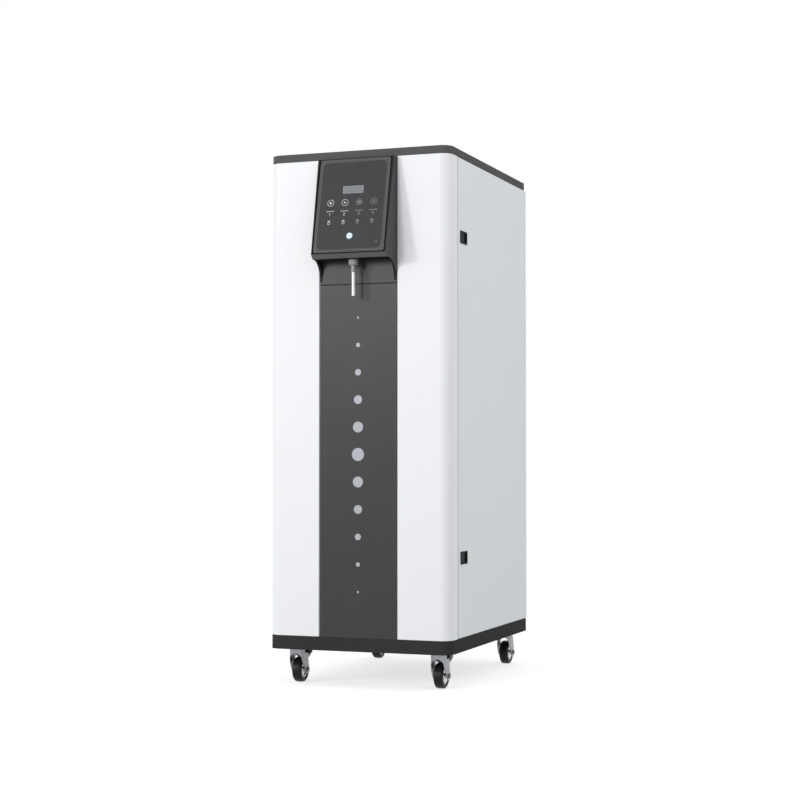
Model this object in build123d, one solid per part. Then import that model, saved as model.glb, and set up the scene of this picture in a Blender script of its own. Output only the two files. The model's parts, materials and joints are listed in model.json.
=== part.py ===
from build123d import *
import math
import os

# A floor-standing laboratory water purifier: a white cabinet on castors with a dark lid,
# plinth and front strip, a dispensing head at the top of the front, and a hinged door on
# each side over the filters, membranes, tank and pump.
# Lengths are in millimetres. X runs across the cabinet, Y from the front to the back, Z up.
# The origin is on the floor, under the middle of the overall width and depth.

# Cabinet body
body_width = 388.0
body_depth = 530.0
body_height = 1000.0
castor_height = 73.0
corner_radius = 23.0
plinth_height = 27.5
plinth_wall = 3.0
plinth_deck = 3.0
plinth_boss_radius = 5.0
plinth_short = 5.0
lid_height = 16.2
lid_wall = 3.0
lid_short = 12.0
lid_edge_radius = 1.5
sheet = 2.0
thin_sheet = 1.5
seat_gap = 0.3
fixed_fit = 0.05
running_fit = 0.05

# Frame inside the cabinet
tube = 20.0
tube_wall = 1.5
post_from_side = 36.0
mullion_lap = 8.0
base_thickness = 3.0

# Front shells, strip and its inlays
seam_depth = 47.0
seam_flange = 10.0
strip_half_width = 82.0
strip_reveal = 2.0
head_seam = 731.5
dot_count = 11
dot_pitch = 54.6
dot_middle = 391.5
dot_largest = 26.0
dot_step = 4.3
dot_pocket = 0.6
dot_proud = 0.2
dot_gap = 0.1

# Dispensing head, heights above the plinth's underside
head_top_gap = 1.0
head_out_top = 11.9
head_out_bottom = 55.3
face_bottom = 787.6
face_half_width = 78.6
lip_run = 8.8
cheek_arc_radius = 42.0
cheek_inner = 77.0
bay_ceiling = 3.0
cavity_half_width = 71.0
ledge_depth = 4.0
cavity_floor_run = 40.0
cavity_foot = 193.5

# Control panel, measured along the sloping face from its middle
bezel_half_width = 75.0
bezel_low = -97.4
bezel_high = 98.45
bezel_shadow_gap = 2.0
bezel_top_gap = 0.5
bezel_corner = 4.0
overlay_half_width = 67.9
overlay_low = -91.0
overlay_high = 91.4
overlay_corner = 10.0
overlay_thickness = 0.8
overlay_recess = 0.2
overlay_gap = 0.1
window_width = 44.0
window_height = 16.0
window_middle = 32.9
window_thickness = 2.5
key_diameter = 15.0
key_pitch = 30.6
key_middle = 6.3
key_count = 4
key_gap = 0.3
key_travel = 0.8
key_flange = 1.2
key_flange_height = 1.0
dispense_diameter = 14.0
dispense_middle = -63.9
dispense_travel = 1.5
board_depth = 9.0
board_thickness = 1.6
board_margin = 6.0
standoff_radius = 3.0
switch_size = 6.0
switch_gap = 0.2

# Outlet under the head
outlet_out = 25.0
outlet_nut_diameter = 19.6
outlet_nut_height = 12.4
outlet_nut_chamfer = 1.2
outlet_collar_diameter = 10.0
outlet_collar_height = 13.9
outlet_diameter = 7.0
outlet_spigot_diameter = 6.6
outlet_bore = 5.0
outlet_end = 705.7
outlet_stem = 12.0

# Side doors
door_depth = 12.0
door_gap = 1.0
hinge_from_side = 7.0
hinge_from_rear = 20.0
hinge_pin_radius = 2.5
hinge_pin_reach = 10.0
hinge_plate = 2.0
hinge_plate_half_length = 5.0
hinge_plate_seat = 9.0
lid_foot = 9.0

# Door latches
latch_heights = (186.0, 825.5)
latch_from_front = 83.5
latch_length = 43.5
latch_height = 25.5
latch_proud = 1.0
latch_corner = 2.0
latch_cup_inset = 1.7
latch_cup_depth = 6.5
latch_window_inset = 3.0
latch_window_depth = 3.7
latch_slider_length = 17.5
latch_slider_gap = 0.3
latch_slider_back = 0.4
latch_travel = 8.0
latch_stem_length = 6.0
latch_stem_height = 8.0
latch_slot_gap = 0.3
latch_tongue_thickness = 3.0
latch_tongue_height = 12.0
latch_tongue_reach = 0.5
latch_rib_count = 3
latch_rib_width = 1.0

# Castors
castor_from_side = 41.6
castor_front = 50.8
castor_rear = 34.9
castor_trail = 16.0
wheel_diameter = 51.0
wheel_width = 19.0
tyre_inner_radius = 15.5
tyre_round = 4.0
hub_inset = 1.0
hub_boss_radius = 5.5
hub_boss_gap = 0.4
hub_dish = 2.5
axle_radius = 3.0
axle_head_radius = 5.0
axle_head = 3.0
fork_gap = 3.8
fork_leg = 2.5
fork_brow = 56.0
fork_shoulder = 62.0
fork_arch_low = 47.5
fork_crown_edge = 2.0
fork_crown_gap = 0.4
fork_boss_radius = 8.5
castor_plate_size = 52.0
castor_plate_thickness = 2.5
castor_plate_corner = 6.0
kingpin_radius = 5.0
kingpin_end = 2.0
brake_pivot_behind = 26.0
brake_pivot_height = 56.5
brake_pin_radius = 2.0
brake_ear_radius = 5.0
brake_hub_gap = 1.0
brake_side_gap = 0.5
brake_wall = 1.7
brake_roof = 2.5
brake_hood_low = 1.5
brake_hood_high = 13.5
brake_hood_front = -8.5
brake_hood_back = 9.0
brake_hood_brow = 2.5
brake_hood_slope = 4.5
brake_back_wall = 3.0
brake_pedal_width = 24.0
brake_pedal_reach = 20.0
brake_pedal_low = 4.0
brake_pedal_high = 8.5
brake_pedal_corner = 5.0
brake_shoe_near = 2.0
brake_shoe_length = 6.0
brake_shoe_gap = 1.3

# Rear panel, its louvres, ports and power inlet
rear_panel_gap = 8.0
rear_flange = 11.5
louvre_count = 9
louvre_pitch = 14.0
louvre_width = 90.0
louvre_slot = 5.0
louvre_columns = (-65.0, 65.0)
louvre_rows = (180.0, 800.0)
port_height = 560.0
port_spots = (-90.0, -50.0, -10.0)
port_out = 18.0
port_bore_radius = 3.2
port_bore_depth = 15.0
port_hex_size = 17.0
port_hex_height = 6.0
port_collar_radius = 7.0
port_stem_radius = 6.0
port_stem_length = 12.0
inlet_x = 90.0
inlet_z = 575.0
inlet_width = 32.0
inlet_height = 64.0
inlet_flange = 3.0
inlet_body_width = 27.4
inlet_body_height = 58.0
inlet_body_depth = 26.0
socket_width = 24.7
socket_height = 16.8
socket_depth = 17.0
socket_middle = -15.0
socket_corner = 4.0
socket_pin_length = 12.0
socket_pin_spread = 7.0
socket_pin_width = 2.0
socket_pin_height = 4.0
socket_earth_drop = 3.5
rocker_middle = 15.0
rocker_width = 20.0
rocker_height = 14.0
rocker_window_gap = 1.2
rocker_pivot_depth = 5.0
rocker_front = 0.8
rocker_valley = 1.2
rocker_back = 3.0
rocker_tilt = 10.0
rocker_pin_radius = 1.5

# Machinery inside
tank_radius = 118.0
tank_height = 330.0
tank_wall = 1.5
tank_port_bore = 2.5
tank_middle_y = 118.0
tank_foot_radius = 80.0
tank_foot_height = 14.0
pump_x = -72.0
pump_y = -128.0
pump_radius = 44.0
pump_motor_length = 120.0
pump_head_size = 84.0
pump_head_length = 60.0
pump_foot_height = 12.0
supply_size = (110.0, 150.0, 66.0)
supply_x = 75.0
supply_from_front = 126.0
prefilter_x = 72.0
prefilter_ys = (-150.0, -15.0, 120.0)
prefilter_radius = 52.0
prefilter_bowl_height = 250.0
prefilter_head_radius = 60.0
prefilter_head_height = 48.0
deioniser_x = -72.0
deioniser_ys = (-150.0, -20.0)
deioniser_radius = 55.0
deioniser_height = 360.0
membrane_xs = (-112.0, -40.0)
membrane_y = 95.0
membrane_radius = 31.0
membrane_height = 380.0
cartridge_cap_height = 26.0
cartridge_cap_step = 4.0
nipple_radius = 6.0
nipple_height = 12.0
filter_port_offset = 28.0
membrane_port_offset = 14.0
pump_port_offset = 22.0
hose_diameter = 8.0
hose_bore = 5.0
hose_bend = 17.0
hose_rise = 46.0
hose_hole_radius = 7.0
hose_over_tank = 24.0
feed_drop_behind = 20.0
membrane_rise = (-76.0, 50.0)
tank_rise_x = -50.0
behind_housings = 48.0
shelf_over_hoses = 60.0

# Places worked out from the sizes above
plinth_low = castor_height
plinth_top = plinth_low + plinth_height
body_top = plinth_low + body_height
lid_low = body_top - lid_height
half_width = body_width / 2
overall_depth = head_out_bottom + body_depth + port_out
front = -overall_depth / 2 + head_out_bottom
rear = front + body_depth
base_low = plinth_low + castor_plate_thickness
base_top = base_low + base_thickness
post_outer = half_width - post_from_side
post_inner = post_outer - tube
mullion_inner = strip_half_width - mullion_lap
tank_low = plinth_top + tank_foot_height
tank_high = tank_low + tank_height
hose_level = tank_high + nipple_height + hose_over_tank
shelf_low = hose_level + shelf_over_hoses
inner_front = front + sheet
inner_rear = rear - sheet
rear_panel_half_width = half_width - door_depth - rear_panel_gap
feed_drop = (0, inner_front + tube + feed_drop_behind)
head_top = lid_low - head_top_gap
tilt = math.atan2(head_out_bottom - head_out_top, head_top - (plinth_low + face_bottom))
lip_foot_out = head_out_bottom - lip_run
bay_top = plinth_low + face_bottom - lip_run
door_low = plinth_top + door_gap
door_high = lid_low - door_gap
door_front = front + seam_depth + door_gap
hinge_x = half_width - hinge_from_side
hinge_y = rear - hinge_from_rear
axle_height = wheel_diameter / 2
fork_inner = wheel_width / 2 + fork_gap
fork_outer = fork_inner + fork_leg
fork_arch_high = fork_arch_low + fork_inner
fork_crown_high = castor_height - fork_crown_gap
castor_x = half_width - castor_from_side
castor_front_y = front + castor_front
castor_rear_y = rear - castor_rear

face_plane = Plane(
    origin=(0, front - (head_out_top + head_out_bottom) / 2, (head_top + plinth_low + face_bottom) / 2),
    x_dir=(1, 0, 0),
    z_dir=(0, -math.cos(tilt), math.sin(tilt)),
)


def block(x, y, z):
    """A box between three pairs of low and high values."""
    low, high = zip(x, y, z)
    size = [b - a for a, b in zip(low, high)]
    middle = [(a + b) / 2 for a, b in zip(low, high)]
    return Pos(*middle) * Box(*size)


def square_tube(x, y, z):
    """A hollow square tube, open at both ends of its longest side."""
    outer = [x, y, z]
    lengths = [high - low for low, high in outer]
    along = lengths.index(max(lengths))
    inner = [(low + tube_wall, high - tube_wall) for low, high in outer]
    inner[along] = (outer[along][0] - 1, outer[along][1] + 1)
    return block(*outer) - block(*inner)


def rod(radius, low, high):
    """A cylinder along Z between two heights."""
    return Pos(0, 0, low) * Cylinder(radius, high - low, align=(Align.CENTER, Align.CENTER, Align.MIN))


def slab(width, height, corner, low, high):
    """A plate with rounded corners, centred on Z, between two levels."""
    return Pos(0, 0, low) * extrude(RectangleRounded(width, height, corner), high - low)


def block_centred(size, low, high):
    """A square-cornered plate, centred on Z, between two levels."""
    return Pos(0, 0, (low + high) / 2) * Box(size[0], size[1], high - low)


def turned(points):
    """A solid turned about Z from a profile of radius and height points."""
    profile = make_face(Polyline(*[(r, 0, z) for r, z in points], close=True))
    return revolve(profile, Axis.Z)


def side_profile(points, half):
    """A prism across the cabinet from points given as distance in front of the face and height."""
    outline = make_face(Polyline(*[(0, front - out, z) for out, z in points], close=True))
    return extrude(outline, half, dir=(1, 0, 0), both=True)


def footprint(inset, rear_short, low, high):
    """The cabinet's plan with its rounded front corners, inset all round, as a solid."""
    y_low = front + inset
    y_high = rear - rear_short - inset
    plan = Pos(0, (y_low + y_high) / 2) * Rectangle(body_width - 2 * inset, y_high - y_low)
    corners = plan.vertices().sort_by(Axis.Y)[:2]
    plan = fillet(corners, corner_radius - inset)
    return Pos(0, 0, low) * extrude(plan, high - low)


def on_face(u, v, shape):
    """Place a shape on the sloping control face, u across and v up from its middle."""
    return face_plane.location * Pos(u, v, 0) * shape


def mirrored(shape):
    return mirror(shape, about=Plane.YZ)


def key_places():
    """Distances of the ring keys from the middle, left to right."""
    return [(i - (key_count - 1) / 2) * key_pitch for i in range(key_count)]


def make_plinth():
    """The skirt and its deck, with a bored boss under each door hinge."""
    plinth = footprint(0, plinth_short, plinth_low, plinth_top)
    plinth -= footprint(plinth_wall, plinth_short, plinth_low, plinth_top - plinth_deck)
    foot = plinth_top - hinge_pin_reach
    for side in (-1, 1):
        place = Pos(side * hinge_x, hinge_y, 0)
        plinth += place * rod(plinth_boss_radius, foot - plinth_wall, plinth_top - plinth_deck)
        plinth -= place * rod(hinge_pin_radius, foot, plinth_top)
    return plinth


def make_base_plate():
    """The steel plate inside the skirt that the castors bolt to."""
    return footprint(plinth_wall, plinth_short, base_low, base_top)


def make_lid():
    """The top cover: a shallow tray upside down, with four feet that stand on the posts."""
    cover = footprint(0, lid_short, lid_low, body_top)
    cover = fillet(cover.faces().sort_by(Axis.Z)[-1].edges(), lid_edge_radius)
    cover -= footprint(lid_wall, lid_short, lid_low, body_top - lid_wall)
    for side in (-1, 1):
        x = sorted((side * post_inner, side * (post_inner + lid_foot)))
        for y in ((inner_front + lid_wall, inner_front + tube), (rear - lid_short - tube, rear - lid_short)):
            cover += block(x, y, (lid_low, body_top - lid_wall))
    return cover


def make_cabinet_frame():
    """Welded square tubes, each its own solid: posts, mullions and rails."""
    tubes = []
    front_y = (inner_front, inner_front + tube)
    rear_y = (inner_rear - tube, inner_rear)
    between_y = (front_y[1], rear_y[0])
    for side in (-1, 1):
        post_x = sorted((side * post_inner, side * post_outer))
        mullion_x = sorted((side * mullion_inner, side * (mullion_inner + tube)))
        tubes.append(square_tube(post_x, front_y, (plinth_top, lid_low)))
        tubes.append(square_tube(post_x, rear_y, (plinth_top, lid_low)))
        tubes.append(square_tube(mullion_x, front_y, (plinth_top, lid_low)))
        for top in (plinth_top + tube, shelf_low, lid_low):
            tubes.append(square_tube(post_x, between_y, (top - tube, top)))
        for top in (plinth_top + tube, lid_low):
            outer_x = sorted((side * (mullion_inner + tube), side * post_inner))
            tubes.append(square_tube(outer_x, front_y, (top - tube, top)))
    for top in (plinth_top + tube, plinth_low + head_seam + tube / 2, lid_low):
        tubes.append(square_tube((-mullion_inner, mullion_inner), front_y, (top - tube, top)))
    for top in (plinth_top + tube, shelf_low, lid_low):
        tubes.append(square_tube((-post_inner, post_inner), rear_y, (top - tube, top)))
    return Compound(children=tubes)


def make_shelf():
    x = (-post_outer, post_outer)
    y = (inner_front + tube + seat_gap, inner_rear - tube - seat_gap)
    shelf = block(x, y, (shelf_low, shelf_low + sheet))
    for x_hole, y_hole in (feed_drop, membrane_rise, (tank_rise_x, rear - behind_housings)):
        shelf -= Pos(x_hole, y_hole, 0) * rod(hose_hole_radius, shelf_low - 1, shelf_low + sheet + 1)
    return shelf


def make_front_panel_right():
    """The white shell: a flat front, the rounded corner and a short side with its flange."""
    shell = footprint(0, 0, plinth_top, lid_low) - footprint(sheet, 0, plinth_top, lid_low)
    reach = strip_half_width + strip_reveal
    shell &= block((reach, half_width), (front, front + seam_depth), (plinth_top, lid_low))
    flange_x = (half_width - sheet - seam_flange, half_width - sheet)
    shell += block(flange_x, (front + seam_depth - sheet, front + seam_depth), (plinth_top, lid_low))
    return shell


def dot_places():
    """The height and radius of each inlay up the strip."""
    half = dot_count // 2
    places = []
    for i in range(-half, half + 1):
        radius = (dot_largest - dot_step * abs(i)) / 2
        places.append((plinth_low + dot_middle + i * dot_pitch, radius))
    return places


def front_disc(z, radius, y_low, y_high):
    """A disc on the front of the strip, with its axis along Y."""
    return Pos(0, y_high, z) * Rot(X=90) * rod(radius, 0, y_high - y_low)


def make_front_strip():
    x = (-strip_half_width, strip_half_width)
    strip = block(x, (front, front + sheet), (plinth_top, plinth_low + head_seam))
    for z, radius in dot_places():
        strip -= front_disc(z, radius + dot_gap, front - sheet, front + dot_pocket)
    return strip


def make_strip_dots():
    discs = []
    for z, radius in dot_places():
        discs.append(front_disc(z, radius, front - dot_proud, front + dot_pocket))
    return Compound(children=discs)


def make_dispenser_housing():
    """The head: a hood with drafted cheeks, an open bay under it and a flange behind it."""
    flange_low = plinth_low + head_seam + seat_gap
    arc_low = bay_top - cheek_arc_radius
    start = (0, front - lip_foot_out, bay_top)
    points = [
        (0, front - cheek_arc_radius, bay_top),
        start,
        (0, front - head_out_bottom, plinth_low + face_bottom),
        (0, front - head_out_top, head_top),
        (0, front + sheet, head_top),
        (0, front + sheet, flange_low),
        (0, front, flange_low),
        (0, front, arc_low),
    ]
    half_turn = math.sqrt(0.5) * cheek_arc_radius
    middle = (0, front - cheek_arc_radius + half_turn, arc_low + half_turn)
    outline = make_face([Polyline(*points), ThreePointArc(points[-1], middle, points[0])])
    hood = extrude(outline, strip_half_width, dir=(1, 0, 0), both=True)
    plan = make_face(Polyline(
        (-strip_half_width, front + sheet),
        (-strip_half_width, front),
        (-face_half_width, front - head_out_bottom),
        (face_half_width, front - head_out_bottom),
        (strip_half_width, front),
        (strip_half_width, front + sheet),
        close=True,
    ))
    hood &= Pos(0, 0, flange_low) * extrude(plan, head_top - flange_low)
    bay_y = (front - head_out_bottom, front)
    hood -= block((-cheek_inner, cheek_inner), bay_y, (flange_low, bay_top))
    seat_low = bezel_low - bezel_shadow_gap
    seat_high = bezel_high + bezel_top_gap
    seat_half = bezel_half_width + bezel_shadow_gap
    seat = slab(2 * seat_half, seat_high - seat_low, bezel_corner, -ledge_depth, ledge_depth)
    hood -= on_face(0, (seat_low + seat_high) / 2, seat)
    run = cavity_foot
    foot_out = head_out_top + run * math.sin(tilt) - ledge_depth * math.cos(tilt)
    foot_z = head_top - run * math.cos(tilt) - ledge_depth * math.sin(tilt)
    cavity_top = head_top - bay_ceiling
    top_out = foot_out - (cavity_top - foot_z) * math.tan(tilt)
    cavity = side_profile(
        [
            (-2 * sheet, bay_top + bay_ceiling),
            (cavity_floor_run, bay_top + bay_ceiling),
            (foot_out, foot_z),
            (top_out, cavity_top),
            (-2 * sheet, cavity_top),
        ],
        cavity_half_width,
    )
    hood -= cavity
    stem_hole = rod(outlet_collar_diameter / 2 + fixed_fit, bay_top - 1, bay_top + bay_ceiling + 1)
    hood -= Pos(0, front - outlet_out, 0) * stem_hole
    return hood


def make_control_bezel():
    """The sloping frame, with a pocket for the face sheet, key holes and four standoffs."""
    height = bezel_high - bezel_low
    bezel = slab(2 * bezel_half_width, height, bezel_corner, -ledge_depth, 0)
    bezel = Pos(0, (bezel_high + bezel_low) / 2) * bezel
    pocket_low = -overlay_recess - overlay_thickness
    pocket_height = overlay_high - overlay_low + 2 * overlay_gap
    pocket_width = 2 * (overlay_half_width + overlay_gap)
    overlay_v = (overlay_high + overlay_low) / 2
    pocket = slab(pocket_width, pocket_height, overlay_corner + overlay_gap, pocket_low, 1)
    bezel -= Pos(0, overlay_v) * pocket
    window = (window_width + 2 * fixed_fit, window_height + 2 * fixed_fit)
    bezel -= Pos(0, window_middle) * block_centred(window, -ledge_depth - 1, 1)
    for u in key_places():
        bezel -= Pos(u, key_middle) * rod(key_diameter / 2 + key_gap, -ledge_depth - 1, 1)
    bezel -= Pos(0, dispense_middle) * rod(dispense_diameter / 2 + key_gap, -ledge_depth - 1, 1)
    for u, v in standoff_places():
        bezel += Pos(u, v) * rod(standoff_radius, -board_depth, -ledge_depth)
    return on_face(0, 0, bezel)


def standoff_places():
    u = cavity_half_width - board_margin - standoff_radius
    v = bezel_high - board_margin - 2 * standoff_radius
    return [(-u, -v), (u, -v), (-u, v), (u, v)]


def make_control_overlay():
    low = -overlay_recess - overlay_thickness
    height = overlay_high - overlay_low
    sheet_v = (overlay_high + overlay_low) / 2
    overlay = Pos(0, sheet_v) * slab(2 * overlay_half_width, height, overlay_corner, low, -overlay_recess)
    overlay -= Pos(0, window_middle) * block_centred((window_width, window_height), low - 1, 1)
    for u in key_places():
        overlay -= Pos(u, key_middle) * rod(key_diameter / 2 + key_gap, low - 1, 1)
    overlay -= Pos(0, dispense_middle) * rod(dispense_diameter / 2 + key_gap, low - 1, 1)
    return on_face(0, 0, overlay)


def make_display_window():
    pane = (window_width - 2 * fixed_fit, window_height - 2 * fixed_fit)
    high = -overlay_recess
    return on_face(0, window_middle, block_centred(pane, high - window_thickness, high))


def make_key(diameter):
    """A round key cap with a retaining flange behind the bezel."""
    flange_low = -ledge_depth - key_gap - key_flange_height
    key = rod(diameter / 2, flange_low, -overlay_recess)
    key += rod(diameter / 2 + key_flange, flange_low, flange_low + key_flange_height)
    return key


def switch_height(travel):
    """How far a push switch stands above the board so that the key has its travel."""
    flange_low = ledge_depth + key_gap + key_flange_height
    return board_depth - flange_low - travel - switch_gap


def make_control_board():
    half_u = cavity_half_width - board_margin
    half_v = bezel_high - board_margin
    board = block_centred((2 * half_u, 2 * half_v), -board_depth - board_thickness, -board_depth)
    display_high = -overlay_recess - window_thickness - seat_gap
    display_size = (window_width - 2 * key_gap, window_height - 2 * key_gap)
    display = block_centred(display_size, -board_depth, display_high)
    board += Pos(0, window_middle) * display
    for u in key_places():
        level = -board_depth + switch_height(key_travel)
        push = block_centred((switch_size, switch_size), -board_depth, level)
        board += Pos(u, key_middle) * push
    level = -board_depth + switch_height(dispense_travel)
    board += Pos(0, dispense_middle) * block_centred((switch_size, switch_size), -board_depth, level)
    return on_face(0, 0, board)


def make_outlet_fitting():
    """The nut and collar under the head, with the stem that passes through its floor."""
    nut_low = bay_top - outlet_nut_height
    collar_low = nut_low - outlet_collar_height
    stem_high = bay_top + bay_ceiling + outlet_stem
    fitting = rod(outlet_nut_diameter / 2, nut_low, bay_top)
    fitting = chamfer(fitting.edges().filter_by(GeomType.CIRCLE).sort_by(Axis.Z)[0], outlet_nut_chamfer)
    fitting += rod(outlet_collar_diameter / 2, collar_low, nut_low)
    fitting += rod(outlet_collar_diameter / 2, bay_top, stem_high)
    fitting -= rod(outlet_spigot_diameter / 2 + fixed_fit, collar_low - 1, stem_high + 1)
    return Pos(0, front - outlet_out, 0) * fitting


def make_outlet_tube():
    """The spout: its upper part steps down to a spigot that fits in the collar."""
    low = plinth_low + outlet_end
    shoulder = bay_top - outlet_nut_height - outlet_collar_height
    high = bay_top + bay_ceiling + outlet_stem
    spout = rod(outlet_diameter / 2, low, shoulder) + rod(outlet_spigot_diameter / 2, shoulder, high)
    spout -= rod(outlet_bore / 2, low - 1, high + 1)
    return Pos(0, front - outlet_out, 0) * spout


def latch_places():
    return [plinth_low + height for height in latch_heights]


def latch_plate(inset, x_low, x_high, z, corner):
    """A plate of the latch's outline, inset, lying in the door's face."""
    plate = slab(latch_length - 2 * inset, latch_height - 2 * inset, corner, 0, x_high - x_low)
    return Pos(x_low, front + latch_from_front, z) * Rot(Y=90) * Rot(Z=90) * plate


def make_right_door():
    """A shallow folded pan with latch cutouts, tongue slots and hinge holes."""
    y = (door_front, rear)
    z = (door_low, door_high)
    pan = block((half_width - door_depth, half_width), y, z)
    inner_y = (y[0] + thin_sheet, y[1] - thin_sheet)
    inner_z = (z[0] + thin_sheet, z[1] - thin_sheet)
    pan -= block((half_width - 2 * door_depth, half_width - thin_sheet), inner_y, inner_z)
    hole = rod(hinge_pin_radius + running_fit, 0, body_top)
    pan -= Pos(hinge_x, hinge_y, 0) * hole & block((0, half_width), (inner_y[0], rear), (0, body_top))
    for place in latch_places():
        cup_inset = latch_cup_inset - fixed_fit
        pan -= latch_plate(cup_inset, half_width - 2 * thin_sheet, half_width + 1, place, latch_corner)
        slot_x = tongue_x()
        slot = latch_tongue_height / 2 + latch_slot_gap
        x = (slot_x[0] - latch_slot_gap, slot_x[1] + latch_slot_gap)
        pan -= block(x, (door_front - 1, inner_y[0] + 1), (place - slot, place + slot))
    return pan


def tongue_x():
    """The depth that the latch tongue lies at, behind the cup."""
    outer = half_width - latch_cup_depth + latch_proud - latch_slot_gap
    return (outer - latch_tongue_thickness, outer)


def make_right_latch_frames():
    """Each latch cup: a thin flange on the door's face and a shallow finger dish."""
    cups = []
    for z in latch_places():
        cup = latch_plate(0, half_width, half_width + latch_proud, z, latch_corner)
        back = half_width + latch_proud - latch_cup_depth
        cup += latch_plate(latch_cup_inset, back, half_width, z, latch_corner)
        floor = half_width + latch_proud - latch_window_depth
        cup -= latch_plate(latch_window_inset, floor, half_width + latch_proud + 1, z, latch_corner / 2)
        slot_y = stem_y()
        reach = latch_travel + latch_slot_gap
        half = latch_stem_height / 2 + latch_slot_gap
        y = (slot_y[0] - latch_slot_gap, slot_y[1] + reach)
        cup -= block((back - 1, floor + 1), y, (z - half, z + half))
        cups.append(cup)
    return Compound(children=cups)


def slider_y():
    """Where the latch slider's cap lies at rest, against the front end of its window."""
    low = front + latch_from_front - latch_length / 2 + latch_window_inset + latch_slider_gap
    return (low, low + latch_slider_length)


def stem_y():
    low, high = slider_y()
    middle = (low + high) / 2
    return (middle - latch_stem_length / 2, middle + latch_stem_length / 2)


def make_right_latch_slider(z):
    """The slider: a ribbed cap, a stem through the cup's slot and a tongue to the door's edge."""
    floor = half_width + latch_proud - latch_window_depth
    cap_x = (floor + latch_slider_gap, half_width + latch_proud - latch_slider_back)
    cap_half = latch_height / 2 - latch_window_inset - latch_slider_gap
    y = slider_y()
    slider = block(cap_x, y, (z - cap_half, z + cap_half))
    for i in range(latch_rib_count):
        step = latch_slider_length / (latch_rib_count + 1)
        middle = y[0] + step * (i + 1)
        rib = (middle - latch_rib_width / 2, middle + latch_rib_width / 2)
        slider -= block((cap_x[1] - latch_rib_width, cap_x[1] + 1), rib, (z - cap_half, z + cap_half))
    bar_x = tongue_x()
    half = latch_stem_height / 2
    slider += block((bar_x[0], cap_x[0]), stem_y(), (z - half, z + half))
    bar_y = (door_front - latch_tongue_reach, stem_y()[1])
    bar_half = latch_tongue_height / 2
    slider += block(bar_x, bar_y, (z - bar_half, z + bar_half))
    return slider


def make_hinge_pins():
    """Two pins stand in the plinth, and two hang from plates on the frame above the doors."""
    pins = []
    for side in (-1, 1):
        pin = rod(hinge_pin_radius, plinth_top - hinge_pin_reach, door_low + hinge_pin_reach)
        pins.append(Pos(side * hinge_x, hinge_y, 0) * pin)
        upper = Pos(side * hinge_x, hinge_y, 0) * rod(hinge_pin_radius, door_high - hinge_pin_reach, lid_low)
        x = sorted((side * (post_outer - hinge_plate_seat), side * (hinge_x + hinge_pin_radius)))
        y = (hinge_y - hinge_plate_half_length, hinge_y + hinge_plate_half_length)
        upper += block(x, y, (lid_low, lid_low + hinge_plate))
        pins.append(upper)
    return Compound(children=pins)


def castor_spots():
    """Each castor's name, swivel place and whether it has a brake."""
    return [
        ("front_left", -castor_x, castor_front_y, True),
        ("front_right", castor_x, castor_front_y, True),
        ("rear_left", -castor_x, castor_rear_y, False),
        ("rear_right", castor_x, castor_rear_y, False),
    ]


def make_castor_plates():
    plates = []
    for _, x, y, _ in castor_spots():
        plate = slab(castor_plate_size, castor_plate_size, castor_plate_corner, castor_height, base_low)
        plate += rod(kingpin_radius, fork_arch_high - kingpin_end, castor_height)
        plates.append(Pos(x, y, 0) * plate)
    return Compound(children=plates)


def wheel_disc(radius, half):
    """A disc about the castor's axle, centred across the wheel."""
    return Pos(0, castor_trail, axle_height) * Rot(Y=90) * rod(radius, -half, half)


def fork_profile(braked):
    """The fork's legs seen from the side, from the crown to the axle's bosses and the brake's ears."""
    brow = Polyline(
        (-fork_outer, fork_brow),
        (fork_outer, fork_brow),
        (fork_outer, fork_shoulder),
    )
    boss = Pos(castor_trail, axle_height) * Circle(fork_boss_radius)
    profile = make_hull(boss.edges() + brow.edges())
    if braked:
        ear = Pos(brake_pivot_behind, brake_pivot_height) * Circle(brake_ear_radius)
        profile += make_hull(ear.edges() + brow.edges())
    return profile


def make_fork(braked):
    """A stamped fork: a round crown with a kingpin hole, arched over the wheel, and two legs."""
    low = axle_height - fork_boss_radius
    y_high = brake_pivot_behind + brake_ear_radius
    crown = rod(fork_outer, fork_brow, fork_crown_high)
    crown = fillet(crown.edges().sort_by(Axis.Z)[-1], fork_crown_edge)
    plan = Circle(fork_outer) + Pos(0, y_high / 2) * Rectangle(2 * fork_outer, y_high)
    legs = Pos(0, 0, low) * extrude(plan, fork_crown_high - low)
    legs &= extrude(Plane.YZ * fork_profile(braked), fork_outer, both=True)
    fork = crown + legs
    along_y = (-fork_outer - 1, y_high + 1)
    fork -= block((-fork_inner, fork_inner), along_y, (low - 1, fork_arch_low))
    fork -= Pos(0, 0, fork_arch_low) * Rot(X=90) * Cylinder(fork_inner, 2 * y_high + 2)
    fork -= rod(kingpin_radius + running_fit, fork_arch_low, fork_crown_high + 1)
    fork -= wheel_disc(axle_radius + fixed_fit, fork_outer + 1)
    if braked:
        notch_y = (brake_pivot_behind - brake_ear_radius - brake_side_gap, y_high + 1)
        fork -= block((-fork_inner, fork_inner), notch_y, (fork_arch_low, fork_crown_high + 1))
        pin_half = fork_outer + brake_side_gap + brake_wall
        pin = Rot(Y=90) * rod(brake_pin_radius, -pin_half, pin_half)
        fork += Pos(0, brake_pivot_behind, brake_pivot_height) * pin
    return fork


def make_axle():
    """The wheel bolt, with a round head outside each fork leg."""
    axle = wheel_disc(axle_radius, fork_outer)
    for side in (-1, 1):
        x = side * (fork_outer + axle_head / 2)
        head = Rot(Y=90) * Cylinder(axle_head_radius, axle_head)
        axle += Pos(x, castor_trail, axle_height) * head
    return axle


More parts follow.
